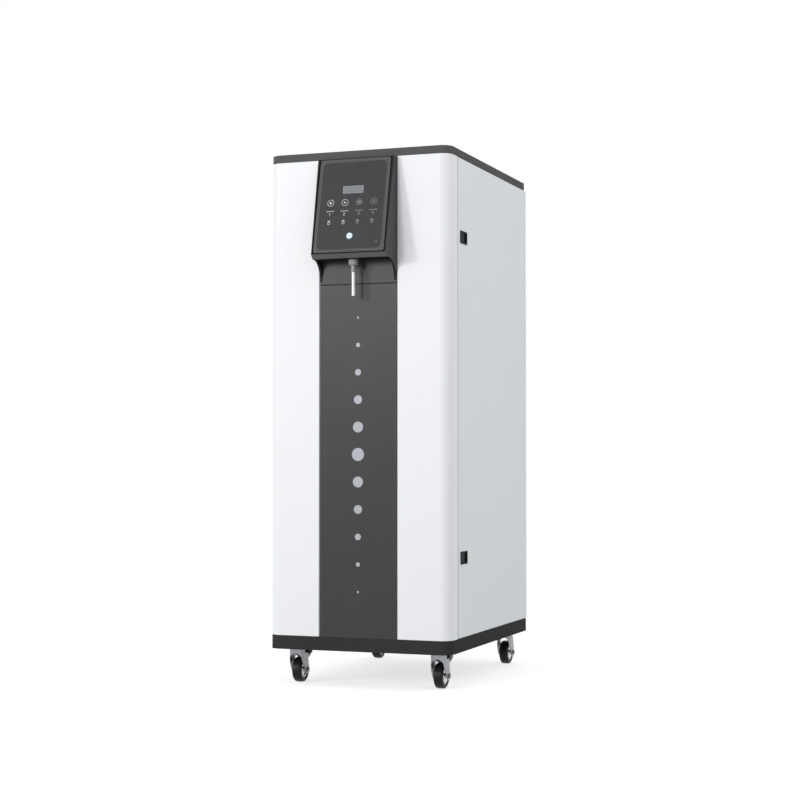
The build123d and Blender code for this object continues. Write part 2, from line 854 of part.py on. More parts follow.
def make_hub():
    """The wheel's hub: a disc dished on both faces, with a bored boss that reaches to the fork."""
    half = wheel_width / 2 - hub_inset
    boss_half = fork_inner - hub_boss_gap
    radius = tyre_inner_radius - fixed_fit
    rim = radius - hub_dish
    bore = axle_radius + running_fit
    half_profile = [(hub_boss_radius, boss_half), (hub_boss_radius, half - hub_dish)]
    half_profile += [(rim - hub_dish, half - hub_dish), (rim, half), (radius, half)]
    points = [(bore, boss_half)] + half_profile
    points += [(r, -h) for r, h in reversed(half_profile)] + [(bore, -boss_half)]
    return Pos(0, castor_trail, axle_height) * Rot(Y=90) * turned(points)


def make_tyre():
    tyre = wheel_disc(wheel_diameter / 2, wheel_width / 2)
    tyre = fillet(tyre.edges().filter_by(GeomType.CIRCLE), tyre_round)
    return tyre - wheel_disc(tyre_inner_radius, wheel_width)


def brake_shoe_low():
    """The height of the brake's shoe below its pivot, just clear of the tyre."""
    shoe_y = brake_pivot_behind + brake_shoe_near
    reach = wheel_diameter / 2 + brake_shoe_gap
    return axle_height + math.sqrt(reach ** 2 - (shoe_y - castor_trail) ** 2) - brake_pivot_height


def make_brake():
    """The brake: a hood over the fork's ears with a pedal behind, and a shoe that tips onto the tyre."""
    inner = fork_outer + brake_side_gap
    outer = inner + brake_wall
    hub_half = fork_inner - brake_hub_gap
    hub_radius = brake_ear_radius - brake_side_gap
    outline = make_face(Polyline(
        (brake_hood_front, brake_hood_low),
        (brake_hood_front, brake_hood_high - brake_hood_brow),
        (brake_hood_front + brake_hood_brow, brake_hood_high),
        (brake_hood_back - brake_hood_slope, brake_hood_high),
        (brake_hood_back, brake_hood_high - brake_hood_slope),
        (brake_hood_back, brake_hood_low),
        close=True,
    ))
    brake = extrude(Plane.YZ * outline, outer, both=True)
    roof = brake_hood_high - brake_roof
    inside_y = (brake_hood_front - 1, brake_hood_back - brake_back_wall)
    brake -= block((-inner, inner), inside_y, (brake_hood_low - 1, roof))
    half = brake_pedal_width / 2
    pedal_z = (brake_pedal_low, brake_pedal_high)
    pedal = block((-half, half), (brake_hood_back - brake_wall, brake_pedal_reach), pedal_z)
    far_corners = pedal.edges().filter_by(Axis.Z).group_by(Axis.Y)[-1]
    brake += fillet(far_corners, brake_pedal_corner)
    brake += Rot(Y=90) * rod(hub_radius, -hub_half, hub_half)
    brake += block((-hub_half, hub_half), (0, brake_hood_back), (0, roof))
    shoe = (brake_shoe_near, brake_shoe_near + brake_shoe_length)
    brake += block((-hub_half, hub_half), shoe, (brake_shoe_low(), brake_hood_low))
    brake -= Rot(Y=90) * rod(brake_pin_radius + running_fit, -outer, outer)
    return Pos(0, brake_pivot_behind, brake_pivot_height) * brake


def make_rear_panel():
    """The back sheet with a lip under the lid, louvres and cutouts for the fittings."""
    x = (-rear_panel_half_width, rear_panel_half_width)
    panel = block(x, (inner_rear, rear), (plinth_top, lid_low + sheet))
    panel += block(x, (rear - rear_flange, rear), (lid_low, lid_low + sheet))
    through = (inner_rear - 1, rear + 1)
    for column in louvre_columns:
        slot_x = (column - louvre_width / 2, column + louvre_width / 2)
        for row in louvre_rows:
            for i in range(louvre_count):
                z = plinth_low + row + i * louvre_pitch
                panel -= block(slot_x, through, (z, z + louvre_slot))
    for x_port in port_spots:
        panel -= on_rear(x_port, port_height, rod(port_stem_radius + fixed_fit, -2 * sheet, sheet))
    cutout = (inlet_body_width + 2 * fixed_fit, inlet_body_height + 2 * fixed_fit)
    panel -= on_rear(inlet_x, inlet_z, block_centred(cutout, -2 * sheet, sheet))
    return panel


def on_rear(x, z, shape):
    """Place a shape on the back of the cabinet, with its Z axis pointing backwards."""
    place = Plane(origin=(x, rear, z), x_dir=(-1, 0, 0), z_dir=(0, 1, 0))
    return place.location * shape


def make_water_ports():
    """Push-in water ports: a hex nut and collar outside, a threaded stem inside."""
    ports = []
    for x in port_spots:
        port = extrude(RegularPolygon(port_hex_size / 2, 6, major_radius=False), port_hex_height)
        port += rod(port_collar_radius, port_hex_height, port_out)
        port += rod(port_stem_radius, -port_stem_length, 0)
        port -= rod(port_bore_radius, port_out - port_bore_depth, port_out + 1)
        ports.append(on_rear(x, port_height, port))
    return Compound(children=ports)


def make_power_inlet():
    """The mains inlet: a flange, a socket with three pins and a window for the rocker."""
    inlet = slab(inlet_width, inlet_height, sheet, 0, inlet_flange)
    inlet += block_centred((inlet_body_width, inlet_body_height), -inlet_body_depth, 0)
    mouth = inlet_flange
    floor = mouth - socket_depth
    inlet -= Pos(0, socket_middle) * slab(socket_width, socket_height, socket_corner, floor, mouth + 1)
    pin = (socket_pin_width, socket_pin_height)
    for u, v in ((-socket_pin_spread, 0), (0, -socket_earth_drop), (socket_pin_spread, 0)):
        inlet += Pos(u, socket_middle + v) * block_centred(pin, floor, floor + socket_pin_length)
    window = (rocker_width + 2 * rocker_window_gap, rocker_height + 2 * rocker_window_gap)
    window_floor = -rocker_pivot_depth - rocker_back - 2 * rocker_window_gap
    inlet -= Pos(0, rocker_middle) * block_centred(window, window_floor, mouth + 1)
    pin = Rot(Y=90) * Cylinder(rocker_pin_radius, window[0])
    inlet += Pos(0, rocker_middle, inlet_flange - rocker_pivot_depth) * pin
    return on_rear(inlet_x, inlet_z, inlet)


def make_rocker_switch():
    """The rocker: a shallow V-shaped cap about its pin, shown tipped to one side."""
    high = rocker_pivot_depth + rocker_front
    half = rocker_height / 2
    outline = make_face(Polyline(
        (-half, -rocker_back),
        (half, -rocker_back),
        (half, high),
        (0, high - rocker_valley),
        (-half, high),
        close=True,
    ))
    paddle = extrude(Plane.YZ * outline, rocker_width / 2, both=True)
    paddle -= Rot(Y=90) * Cylinder(rocker_pin_radius + running_fit, rocker_width + 2)
    tipped = Rot(X=-rocker_tilt) * paddle
    seat = Pos(0, rocker_middle, inlet_flange - rocker_pivot_depth)
    return on_rear(inlet_x, inlet_z, seat * tipped)


def tank_body(inset):
    """The domed vessel's outer form, or with an inset the space inside its wall."""
    dome = tank_radius / 2
    shoulder = tank_radius - dome / 4
    return turned([
        (0, tank_low + inset),
        (tank_foot_radius, tank_low + inset),
        (shoulder - inset, tank_low + dome / 4 + inset),
        (tank_radius - inset, tank_low + dome),
        (tank_radius - inset, tank_high - dome),
        (shoulder - inset, tank_high - dome / 4 - inset),
        (tank_foot_radius, tank_high - inset),
        (0, tank_high - inset),
    ])


def make_storage_tank():
    """The pressure tank: a hollow domed vessel on a foot ring, with its port on top."""
    ring = rod(tank_foot_radius, plinth_top, tank_low)
    ring -= rod(tank_foot_radius - tank_wall, plinth_top - 1, tank_low)
    tank = tank_body(0) + ring
    tank += rod(nipple_radius, tank_high, tank_high + nipple_height)
    tank -= tank_body(tank_wall)
    tank -= rod(tank_port_bore, tank_high - 2 * tank_wall, tank_high + nipple_height + 1)
    return Pos(0, tank_middle_y, 0) * tank


def make_booster_pump():
    """The booster pump: a motor and a square head lying along Y on a foot block."""
    half_head = pump_head_size / 2
    motor = Rot(X=-90) * rod(pump_radius, 0, pump_motor_length)
    head = block((-half_head, half_head), (-pump_head_length, 0), (-half_head, half_head))
    foot_y = (-pump_head_length / 2, pump_motor_length - pump_head_length / 2)
    foot_z = (-pump_radius - pump_foot_height, -pump_radius / 2)
    pump = motor + head + block((-pump_radius / 2, pump_radius / 2), foot_y, foot_z)
    for side in (-1, 1):
        port = rod(nipple_radius, half_head, half_head + nipple_height)
        pump += Pos(side * pump_port_offset, -pump_head_length / 2, 0) * port
    return Pos(pump_x, pump_y, plinth_top + pump_foot_height + pump_radius) * pump


def make_power_supply():
    width, length, height = supply_size
    x = (supply_x - width / 2, supply_x + width / 2)
    middle_y = front + supply_from_front
    y = (middle_y - length / 2, middle_y + length / 2)
    return chamfer(block(x, y, (plinth_top, plinth_top + height)).edges().filter_by(Axis.Z), sheet)


def with_ports(housing, height, offset):
    """Add the two hose ports on top of a housing, in line along Y."""
    for side in (-1, 1):
        housing += Pos(0, side * offset, 0) * rod(nipple_radius, height, height + nipple_height)
    return housing


def make_prefilter_housings():
    """A row of prefilters: each a tapered bowl under a wider head."""
    draft = cartridge_cap_step
    height = prefilter_bowl_height + prefilter_head_height
    housing = turned([
        (0, 0),
        (prefilter_radius - 3 * draft, 0),
        (prefilter_radius - draft, 2 * draft),
        (prefilter_radius, prefilter_bowl_height),
        (prefilter_head_radius, prefilter_bowl_height),
        (prefilter_head_radius, height - draft),
        (prefilter_head_radius - draft, height),
        (0, height),
    ])
    housing = with_ports(housing, height, filter_port_offset)
    return Compound(children=[Pos(prefilter_x, y, shelf_low + sheet) * housing for y in prefilter_ys])


def capped_cartridge(radius, height, offset):
    """A cartridge: a tube with a wider cap at each end and two ports on top."""
    wide = radius + cartridge_cap_step
    cap = cartridge_cap_height
    tube_and_caps = turned([
        (0, 0),
        (wide, 0),
        (wide, cap),
        (radius, cap),
        (radius, height - cap),
        (wide, height - cap),
        (wide, height),
        (0, height),
    ])
    return with_ports(tube_and_caps, height, offset)


def make_deioniser_cartridges():
    cartridge = capped_cartridge(deioniser_radius, deioniser_height, filter_port_offset)
    return Compound(children=[Pos(deioniser_x, y, shelf_low + sheet) * cartridge for y in deioniser_ys])


def make_membrane_housings():
    housing = capped_cartridge(membrane_radius, membrane_height, membrane_port_offset)
    return Compound(children=[Pos(x, membrane_y, shelf_low + sheet) * housing for x in membrane_xs])


def hose(points):
    """A hose along straight runs with round bends, square to its first run."""
    path = FilletPolyline(*points, radius=hose_bend)
    start = Plane(origin=path @ 0, z_dir=path % 0)
    return sweep(start * (Circle(hose_diameter / 2) - Circle(hose_bore / 2)), path=path)


def over(first, last, rise):
    """A hose route up from one port, across at the height of the rise, and down to another."""
    level = max(first[2], last[2]) + rise
    return [first, (first[0], first[1], level), (last[0], last[1], level), last]


def make_water_tubing():
    """The hoses: mains water to the filters, pump, membranes and deionisers, then the outlet."""
    filter_top = shelf_low + sheet + prefilter_bowl_height + prefilter_head_height + nipple_height
    membrane_top = shelf_low + sheet + membrane_height + nipple_height
    deioniser_top = shelf_low + sheet + deioniser_height + nipple_height
    pump_top = plinth_top + pump_foot_height + pump_radius + pump_head_size / 2 + nipple_height
    tank_top = tank_high + nipple_height
    stem_end = rear - port_stem_length
    behind = rear - behind_housings
    feed_level = filter_top + hose_rise
    inlet_port_x = port_spots[-1]
    last_filter = (prefilter_x, prefilter_ys[-1] + filter_port_offset, filter_top)
    first_filter = (prefilter_x, prefilter_ys[0] - filter_port_offset, filter_top)
    pump_port_y = pump_y - pump_head_length / 2
    pump_in = (pump_x + pump_port_offset, pump_port_y, pump_top)
    pump_out = (pump_x - pump_port_offset, pump_port_y, pump_top)
    membrane_in = (membrane_xs[0], membrane_y - membrane_port_offset, membrane_top)
    deioniser_out = (deioniser_x, deioniser_ys[0] - filter_port_offset, deioniser_top)
    membrane_level = membrane_top + 2 * hose_rise
    head_level = bay_top + bay_ceiling + outlet_stem + hose_rise
    head_y = front - outlet_out
    behind_mullions = inner_front + tube
    routes = [
        [
            (inlet_port_x, stem_end, port_height),
            (inlet_port_x, behind, port_height),
            (inlet_port_x, behind, feed_level),
            (last_filter[0], last_filter[1], feed_level),
            last_filter,
        ],
        [
            first_filter,
            (first_filter[0], first_filter[1], feed_level),
            (feed_drop[0], feed_drop[1], feed_level),
            (feed_drop[0], feed_drop[1], hose_level),
            (pump_in[0], pump_in[1], hose_level),
            pump_in,
        ],
        [
            pump_out,
            (pump_out[0], pump_out[1], hose_level),
            (membrane_rise[0], membrane_rise[1], hose_level),
            (membrane_rise[0], membrane_rise[1], membrane_level),
            (membrane_in[0], membrane_in[1], membrane_level),
            membrane_in,
        ],
        [
            (deioniser_out[0], deioniser_out[1], deioniser_top),
            (deioniser_out[0], deioniser_out[1], deioniser_top + hose_rise),
            (feed_drop[0], behind_mullions, deioniser_top + hose_rise),
            (feed_drop[0], behind_mullions, head_level),
            (feed_drop[0], head_y, head_level),
            (feed_drop[0], head_y, bay_top + bay_ceiling + outlet_stem),
        ],
        [
            (tank_rise_x, stem_end, port_height),
            (tank_rise_x, behind, port_height),
            (tank_rise_x, behind, hose_level),
            (0, tank_middle_y, hose_level),
            (0, tank_middle_y, tank_top),
        ],
    ]
    for near, far in zip(prefilter_ys[:-1], prefilter_ys[1:]):
        start = (prefilter_x, near + filter_port_offset, filter_top)
        routes.append(over(start, (prefilter_x, far - filter_port_offset, filter_top), hose_rise))
    near, far = deioniser_ys
    start = (deioniser_x, near + filter_port_offset, deioniser_top)
    routes.append(over(start, (deioniser_x, far - filter_port_offset, deioniser_top), hose_rise))
    start = (membrane_xs[0], membrane_y + membrane_port_offset, membrane_top)
    routes.append(over(start, (membrane_xs[1], membrane_y + membrane_port_offset, membrane_top), hose_rise))
    start = (membrane_xs[1], membrane_y - membrane_port_offset, membrane_top)
    routes.append(over(start, (deioniser_x, deioniser_ys[1] + filter_port_offset, deioniser_top), hose_rise))
    return Compound(children=[hose(points) for points in routes])


def build_parts():
    """Every sub-part by the name of its node."""
    parts = {
        "plinth": make_plinth(),
        "base_plate": make_base_plate(),
        "lid": make_lid(),
        "cabinet_frame": make_cabinet_frame(),
        "shelf": make_shelf(),
        "front_panel_right": make_front_panel_right(),
        "front_strip": make_front_strip(),
        "strip_dots": make_strip_dots(),
        "rear_panel": make_rear_panel(),
        "dispenser_housing": make_dispenser_housing(),
        "control_bezel": make_control_bezel(),
        "control_overlay": make_control_overlay(),
        "display_window": make_display_window(),
        "control_board": make_control_board(),
        "outlet_fitting": make_outlet_fitting(),
        "outlet_tube": make_outlet_tube(),
        "right_door": make_right_door(),
        "right_latch_frames": make_right_latch_frames(),
        "hinge_pins": make_hinge_pins(),
        "castor_plates": make_castor_plates(),
        "water_ports": make_water_ports(),
        "power_inlet": make_power_inlet(),
        "rocker_switch": make_rocker_switch(),
        "storage_tank": make_storage_tank(),
        "booster_pump": make_booster_pump(),
        "power_supply": make_power_supply(),
        "prefilter_housings": make_prefilter_housings(),
        "deioniser_cartridges": make_deioniser_cartridges(),
        "membrane_housings": make_membrane_housings(),
        "water_tubing": make_water_tubing(),
    }
    key = make_key(key_diameter)
    for i, u in enumerate(key_places(), start=1):
        parts[f"key_{i}"] = on_face(u, key_middle, key)
    dispense_key = make_key(dispense_diameter)
    parts["dispense_key"] = on_face(0, dispense_middle, dispense_key)
    for name, z in zip(("right_latch_lower", "right_latch_upper"), latch_places()):
        parts[name] = make_right_latch_slider(z)
    for name in [n for n in parts if "right" in n]:
        parts[name.replace("right", "left")] = mirrored(parts[name])
    for name, x, y, braked in castor_spots():
        place = Pos(x, y, 0)
        parts[f"{name}_fork"] = place * make_fork(braked)
        parts[f"{name}_axle"] = place * make_axle()
        parts[f"{name}_hub"] = place * make_hub()
        parts[f"{name}_tyre"] = place * make_tyre()
        if braked:
            parts[f"{name}_brake"] = place * make_brake()
    return parts


os.makedirs("parts", exist_ok=True)
for node, shape in build_parts().items():
    export_step(shape, f"parts/{node}.step")
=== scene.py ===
import json
import math

import bmesh
import bpy
from mathutils import Matrix, Vector


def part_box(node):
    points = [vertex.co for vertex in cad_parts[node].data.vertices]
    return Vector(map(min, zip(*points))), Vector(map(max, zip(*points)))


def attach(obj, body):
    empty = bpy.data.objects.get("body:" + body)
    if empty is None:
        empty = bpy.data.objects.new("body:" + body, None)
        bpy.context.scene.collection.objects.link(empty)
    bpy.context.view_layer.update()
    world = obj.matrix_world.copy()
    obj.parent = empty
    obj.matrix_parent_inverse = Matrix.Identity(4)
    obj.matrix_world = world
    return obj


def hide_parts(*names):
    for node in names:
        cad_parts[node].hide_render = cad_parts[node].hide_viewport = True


# A floor-standing laboratory water purifier, dressed around its solids.
# Lengths are in metres in the solids' own frame: X across, Y from the front to the back, Z up.

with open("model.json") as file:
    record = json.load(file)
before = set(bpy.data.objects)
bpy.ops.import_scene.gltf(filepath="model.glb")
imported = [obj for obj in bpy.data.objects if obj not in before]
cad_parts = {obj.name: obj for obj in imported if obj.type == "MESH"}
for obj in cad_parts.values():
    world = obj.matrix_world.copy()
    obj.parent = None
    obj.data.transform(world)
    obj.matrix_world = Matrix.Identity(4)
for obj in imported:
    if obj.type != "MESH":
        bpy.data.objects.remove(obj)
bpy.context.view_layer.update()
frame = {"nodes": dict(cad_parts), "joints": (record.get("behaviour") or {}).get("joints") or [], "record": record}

mm = 0.001
rightward = Vector((1, 0, 0))
leftward = Vector((-1, 0, 0))
forward = Vector((0, -1, 0))
backward = Vector((0, 1, 0))
upward = Vector((0, 0, 1))

# Camera, at the photograph's viewpoint
camera_lens = 77.79
camera_sensor = 36.0
camera_place = (1.27405, -3.44419, 0.46026)
camera_pitch = 91.875
camera_yaw = 20.33

# Light: an even surround, a key from the left, one lamp from the front and a fill from the right
ambient = 0.72
ambient_tint = (0.975, 0.99, 1.0)
key_place = (-3.0, -3.9, 1.7)
key_target = (0.0, -0.2, 0.75)
key_size = 0.7
key_power = 57.0
front_place = (-1.35, -4.2, 1.6)
front_target = (0.0, -0.25, 0.9)
front_size = 1.0
front_power = 30.0
fill_place = (2.0, -0.5, 1.8)
fill_target = (0.19, 0.05, 0.9)
fill_size = 0.7
fill_power = 7.0
floor_size = 40.0
floor_tone = 0.5
floor_glow = 0.68

# Edge radii of the visible pieces
panel_edge = 0.8 * mm
trim_edge = 0.5 * mm
small_edge = 0.25 * mm
fine_edge = 0.12 * mm

# In degrees: edges sharper than the first are rounded, edges flatter than the second dissolved
sharp_angle = 30.0
flat_angle = 0.3

# Points closer than this are one, in pieces built here and in copies of the solids
built_weld = 0.0005 * mm
solid_weld = 0.002 * mm

# The keys, and the marks printed on the control face
key_numbers = (1, 2, 3, 4)
print_levels = (0.0, 0.05 * mm)
dot_points = 24
ring_radius = 7.2 * mm
ring_width = 0.75 * mm
icon_radius = 2.3 * mm

# The outlet's nut: its foot above the fitting's own, and its height up to the bay's ceiling
nut_foot = 13.9 * mm
nut_height = 12.4 * mm

# Parts that come in rows, and the distance from a housing's middle to its hose ports
castor_names = ("front_left", "front_right", "rear_left", "rear_right")
filter_rows = (-150, -15, 120)
deioniser_rows = (-150, -20)
membrane_columns = (-112, -40)
membrane_row = 95
pump_port_row = -158
wide_ports = (-28, 28)
membrane_ports = (-14, 14)
pump_ports = (-22, 22)

# Two directions whose product is above this are taken as the same
same_way = 0.99

# The control face's own axes: across, up its slope, and straight out of it
press = next(joint for joint in frame["joints"] if joint["name"] == "key_1_press")
face_out = -Vector(press["axis"]).normalized()
face_up = face_out.cross(rightward)

slot_of = {part["node"]: part["material_slot"] for part in frame["record"]["subparts"]}
body_of_node = {}
for body_name, members in frame["record"]["behaviour"]["bodies"].items():
    for member in members:
        body_of_node[member] = body_name


def srgb(red, green, blue):
    """A linear colour from display values between 0 and 255."""
    linear = []
    for value in (red, green, blue):
        share = value / 255
        linear.append(share / 12.92 if share <= 0.04045 else ((share + 0.055) / 1.055) ** 2.4)
    return (*linear, 1.0)


def shaded(color, share):
    """The same colour, lighter or darker by a share."""
    return (*[min(1.0, channel * share) for channel in color[:3]], 1.0)


def noise(tree, scale, detail=2.0, stretch=(1.0, 1.0, 1.0)):
    """A noise texture in the object's own metres, stretched along the given axes."""
    place = tree.nodes.new("ShaderNodeTexCoord")
    mapping = tree.nodes.new("ShaderNodeMapping")
    mapping.inputs["Scale"].default_value = stretch
    texture = tree.nodes.new("ShaderNodeTexNoise")
    texture.inputs["Scale"].default_value = scale
    texture.inputs["Detail"].default_value = detail
    tree.links.new(place.outputs["Object"], mapping.inputs["Vector"])
    tree.links.new(mapping.outputs["Vector"], texture.inputs["Vector"])
    return texture.outputs["Fac"]


def spread(tree, value, low, high):
    """Map a noise value, which lies mostly between 0.3 and 0.7, to a range."""
    node = tree.nodes.new("ShaderNodeMapRange")
    node.inputs["From Min"].default_value = 0.3
    node.inputs["From Max"].default_value = 0.7
    node.inputs["To Min"].default_value = low
    node.inputs["To Max"].default_value = high
    tree.links.new(value, node.inputs["Value"])
    return node.outputs["Result"]


def blend_colors(tree, share, first, second):
    """A colour between two others, by a share from another node."""
    node = tree.nodes.new("ShaderNodeMix")
    node.data_type = "RGBA"
    node.inputs["A"].default_value = first
    node.inputs["B"].default_value = second
    tree.links.new(share, node.inputs["Factor"])
    return node.outputs["Result"]


def add_bump(tree, shader, height, depth):
    """A fine relief on the shader's surface."""
    node = tree.nodes.new("ShaderNodeBump")
    node.inputs["Strength"].default_value = 1.0
    node.inputs["Distance"].default_value = depth
    tree.links.new(height, node.inputs["Height"])
    tree.links.new(node.outputs["Normal"], shader.inputs["Normal"])


materials = {}


def surface(
    name,
    color,
    roughness,
    metallic=0.0,
    specular=0.5,
    mottle=0.04,
    mottle_scale=14.0,
    uneven=0.05,
    grain_scale=900.0,
    grain_depth=0.00001,
    stretch=(1.0, 1.0, 1.0),
    glow=0.0,
    clear=0.0,
):
    """A finish whose colour and roughness drift a little, over a fine surface grain."""
    material = bpy.data.materials.new(name)
    material.use_nodes = True
    tree = material.node_tree
    shader = tree.nodes["Principled BSDF"]
    shader.inputs["Metallic"].default_value = metallic
    shader.inputs["Specular IOR Level"].default_value = specular
    shader.inputs["Transmission Weight"].default_value = clear
    shader.inputs["Emission Color"].default_value = color
    shader.inputs["Emission Strength"].default_value = glow
    drift = spread(tree, noise(tree, mottle_scale, 4.0), 0.0, 1.0)
    tint = blend_colors(tree, drift, shaded(color, 1 - mottle), shaded(color, 1 + mottle))
    tree.links.new(tint, shader.inputs["Base Color"])
    grain = noise(tree, grain_scale, 2.0, stretch)
    gloss = spread(tree, grain, roughness - uneven, roughness + uneven)
    tree.links.new(gloss, shader.inputs["Roughness"])
    add_bump(tree, shader, grain, grain_depth)
    materials[name] = material


def make_paints():
    """Powder coats: the dark trim, the white cabinet, its frame and the tank."""
    dark = {"grain_scale": 700.0, "grain_depth": 0.000012}
    white = {"mottle": 0.008, "grain_scale": 600.0, "grain_depth": 0.000008}
    surface("lid_paint", srgb(94, 94, 95), 0.6, specular=0.012, **dark)
    surface("plinth_paint", srgb(58, 58, 59), 0.6, specular=0.012, **dark)
    surface("strip_paint", srgb(48, 48, 49), 0.36, specular=0.33, **dark)
    surface("shell_white", srgb(243, 244, 246), 0.42, **white)
    surface("door_white", srgb(233, 238, 240), 0.45, **white)
    surface("rear_white", srgb(234, 237, 240), 0.45, **white)
    surface("frame_steel", srgb(176, 178, 181), 0.5, **dark)
    surface("tank_paint", srgb(92, 128, 168), 0.3, **white)


def make_plastics():
    """Moulded plastics, films, inks and rubber; the dispense cap and the white ink glow as painted light."""
    moulded = {"grain_scale": 1800.0, "grain_depth": 0.00001, "mottle_scale": 30.0}
    smooth = {"grain_scale": 900.0, "grain_depth": 0.000003, "mottle": 0.02}
    surface("head_plastic", srgb(66, 66, 68), 0.55, specular=0.3, **moulded)
    surface("bezel_plastic", srgb(86, 86, 87), 0.5, specular=0.2, **moulded)
    # painted light: a lighter copy of the head's grey, for the downward-facing lip
    surface("lip_painted_light", srgb(98, 98, 100), 0.5, specular=0.2, **moulded)
    surface("overlay_film", srgb(60, 61, 63), 0.42, specular=0.2, **moulded)
    # painted shade: a near-black for recesses, seams and openings that lie in shade
    surface("painted_shade_black", srgb(18, 18, 19), 0.6, specular=0.2, **moulded)
    surface("display_pane", srgb(146, 147, 150), 0.25, specular=0.3, **smooth)
    surface("display_cell", srgb(126, 128, 130), 0.3, specular=0.3, **smooth)
    surface("key_ring", srgb(72, 73, 75), 0.4, specular=0.3, **moulded)
    # painted light: the cap glows, though nothing lights it
    surface("dispense_cap", srgb(214, 234, 246), 0.25, glow=0.3, **smooth)
    surface("dispense_ring", srgb(62, 96, 124), 0.4, **smooth)
    # painted light: the white ink glows a little
    surface("print_white", srgb(208, 209, 211), 0.5, glow=0.04, **smooth)
    surface("print_grey", srgb(150, 151, 154), 0.5, **smooth)
    surface("print_dim", srgb(118, 119, 121), 0.5, **smooth)
    surface("board_green", srgb(24, 92, 52), 0.4, mottle=0.12, mottle_scale=400.0)
    surface("latch_cup", srgb(24, 25, 26), 0.5, specular=0.04, **moulded)
    surface("latch_slider", srgb(46, 48, 50), 0.5, specular=0.05, **moulded)
    surface("tyre_rubber", srgb(22, 22, 23), 0.38, specular=0.2, mottle=0.15, mottle_scale=60.0)
    surface("brake_plastic", srgb(26, 26, 28), 0.5, specular=0.1, **moulded)
    # painted light: the front-right brake is the same part as the black front-left one, given a lighter grey as if
    # lit
    surface("brake_grey", srgb(122, 123, 125), 0.5, specular=0.2, **moulded)
    # painted shade: dark grey for the shaded edges at the seam between front panel and door
    surface("painted_seam_shade", srgb(96, 97, 98), 0.6, specular=0.1, **moulded)
    surface("port_plastic", srgb(64, 66, 69), 0.4, **moulded)
    surface("port_release", srgb(70, 118, 168), 0.35, **moulded)
    surface("inlet_plastic", srgb(34, 34, 36), 0.4, **moulded)
    surface("rocker_plastic", srgb(30, 30, 32), 0.25, **smooth)
    surface("filter_plastic", srgb(204, 216, 228), 0.22, clear=0.15, **smooth)
    surface("deioniser_plastic", srgb(226, 226, 220), 0.3, **smooth)
    surface("membrane_plastic", srgb(230, 232, 234), 0.28, **smooth)
    surface("cap_blue", srgb(48, 84, 132), 0.35, **moulded)
    surface("hose_plastic", srgb(205, 220, 232), 0.3, clear=0.3, **smooth)


def make_metals():
    """Plated, brushed and cast metals."""
    plated = {"metallic": 1.0, "mottle": 0.08, "mottle_scale": 90.0, "uneven": 0.08}
    dull = {"metallic": 0.35, "mottle": 0.03, "grain_depth": 0.000002}
    brushed = {"stretch": (0.05, 1, 1), "grain_scale": 1500.0}
    surface("inlay_silver", srgb(166, 168, 174), 0.5, metallic=0.25, mottle=0.03)
    surface("nut_plastic", srgb(138, 139, 141), 0.4, mottle_scale=400.0, metallic=0.3, mottle=0.1)
    surface("spout_steel", srgb(222, 223, 226), 0.3, **dull)
    surface("hinge_steel", srgb(170, 171, 174), 0.35, **plated)
    surface("castor_zinc", srgb(150, 152, 156), 0.36, grain_scale=400.0, **plated)
    surface("axle_steel", srgb(118, 119, 122), 0.35, **plated)
    surface("hub_metal", srgb(214, 215, 217), 0.22, **brushed, **plated)
    surface("pump_metal", srgb(120, 122, 126), 0.45, metallic=0.7, mottle=0.08)
    surface("supply_metal", srgb(188, 190, 193), 0.4, stretch=(0.02, 1, 1), **plated)
    surface("screw_steel", srgb(184, 185, 188), 0.28, grain_scale=1200.0, **plated)
    surface("pin_brass", srgb(204, 176, 112), 0.3, grain_scale=1200.0, **plated)


def paint_solids():
    """Each solid's own finish, by its material slot."""
    for node, solid in frame["nodes"].items():
        solid.data.materials.clear()
        solid.data.materials.append(materials[slot_of[node]])


def add_piece(name, mesh, material, body):
    """A mesh object that rides on a body."""
    piece = bpy.data.objects.new(name, mesh)
    bpy.context.scene.collection.objects.link(piece)
    mesh.materials.clear()
    mesh.materials.append(materials[material])
    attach(piece, body)
    return piece


def built_piece(name, work, material, body, edge=0.0):
    """A piece from freshly built mesh work, with its sharp edges rounded."""
    bmesh.ops.remove_doubles(work, verts=work.verts, dist=built_weld)
    bmesh.ops.recalc_face_normals(work, faces=work.faces)
    mesh = bpy.data.meshes.new(name)
    work.to_mesh(mesh)
    work.free()
    piece = add_piece(name, mesh, material, body)
    if edge:
        rounded(piece, edge)
    return piece


def rounded(piece, width, segments=2):
    """Round a piece's sharp edges and keep its flats flat."""
    for face in piece.data.polygons:
        face.use_smooth = True
    bevel = piece.modifiers.new("rounded_edges", "BEVEL")
    bevel.width = width
    bevel.segments = segments
    bevel.limit_method = "ANGLE"
    bevel.angle_limit = math.radians(sharp_angle)
    flats = piece.modifiers.new("flat_faces", "WEIGHTED_NORMAL")
    flats.mode = "FACE_AREA"
    flats.weight = 80


def finished(node, width, segments=2):
    """A copy of a solid with its sharp edges rounded, in the solid's place."""
    mesh = frame["nodes"][node].data.copy()
    work = bmesh.new()
    work.from_mesh(mesh)
    flat = math.radians(flat_angle)
    bmesh.ops.remove_doubles(work, verts=work.verts, dist=solid_weld)
    bmesh.ops.dissolve_limit(work, angle_limit=flat, verts=work.verts, edges=work.edges)
    work.to_mesh(mesh)
    work.free()
    slot = slot_of[node]
    piece = add_piece(f"{node}_finished", mesh, slot, body_of_node[node])
    rounded(piece, width, segments)
    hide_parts(node)
    return piece


def repaint(piece, material, chosen):
    """Give the faces for which chosen(middle, normal) holds another material."""
    piece.data.materials.append(materials[material])
    index = len(piece.data.materials) - 1
    for face in piece.data.polygons:
        if chosen(face.center, face.normal):
            face.material_index = index


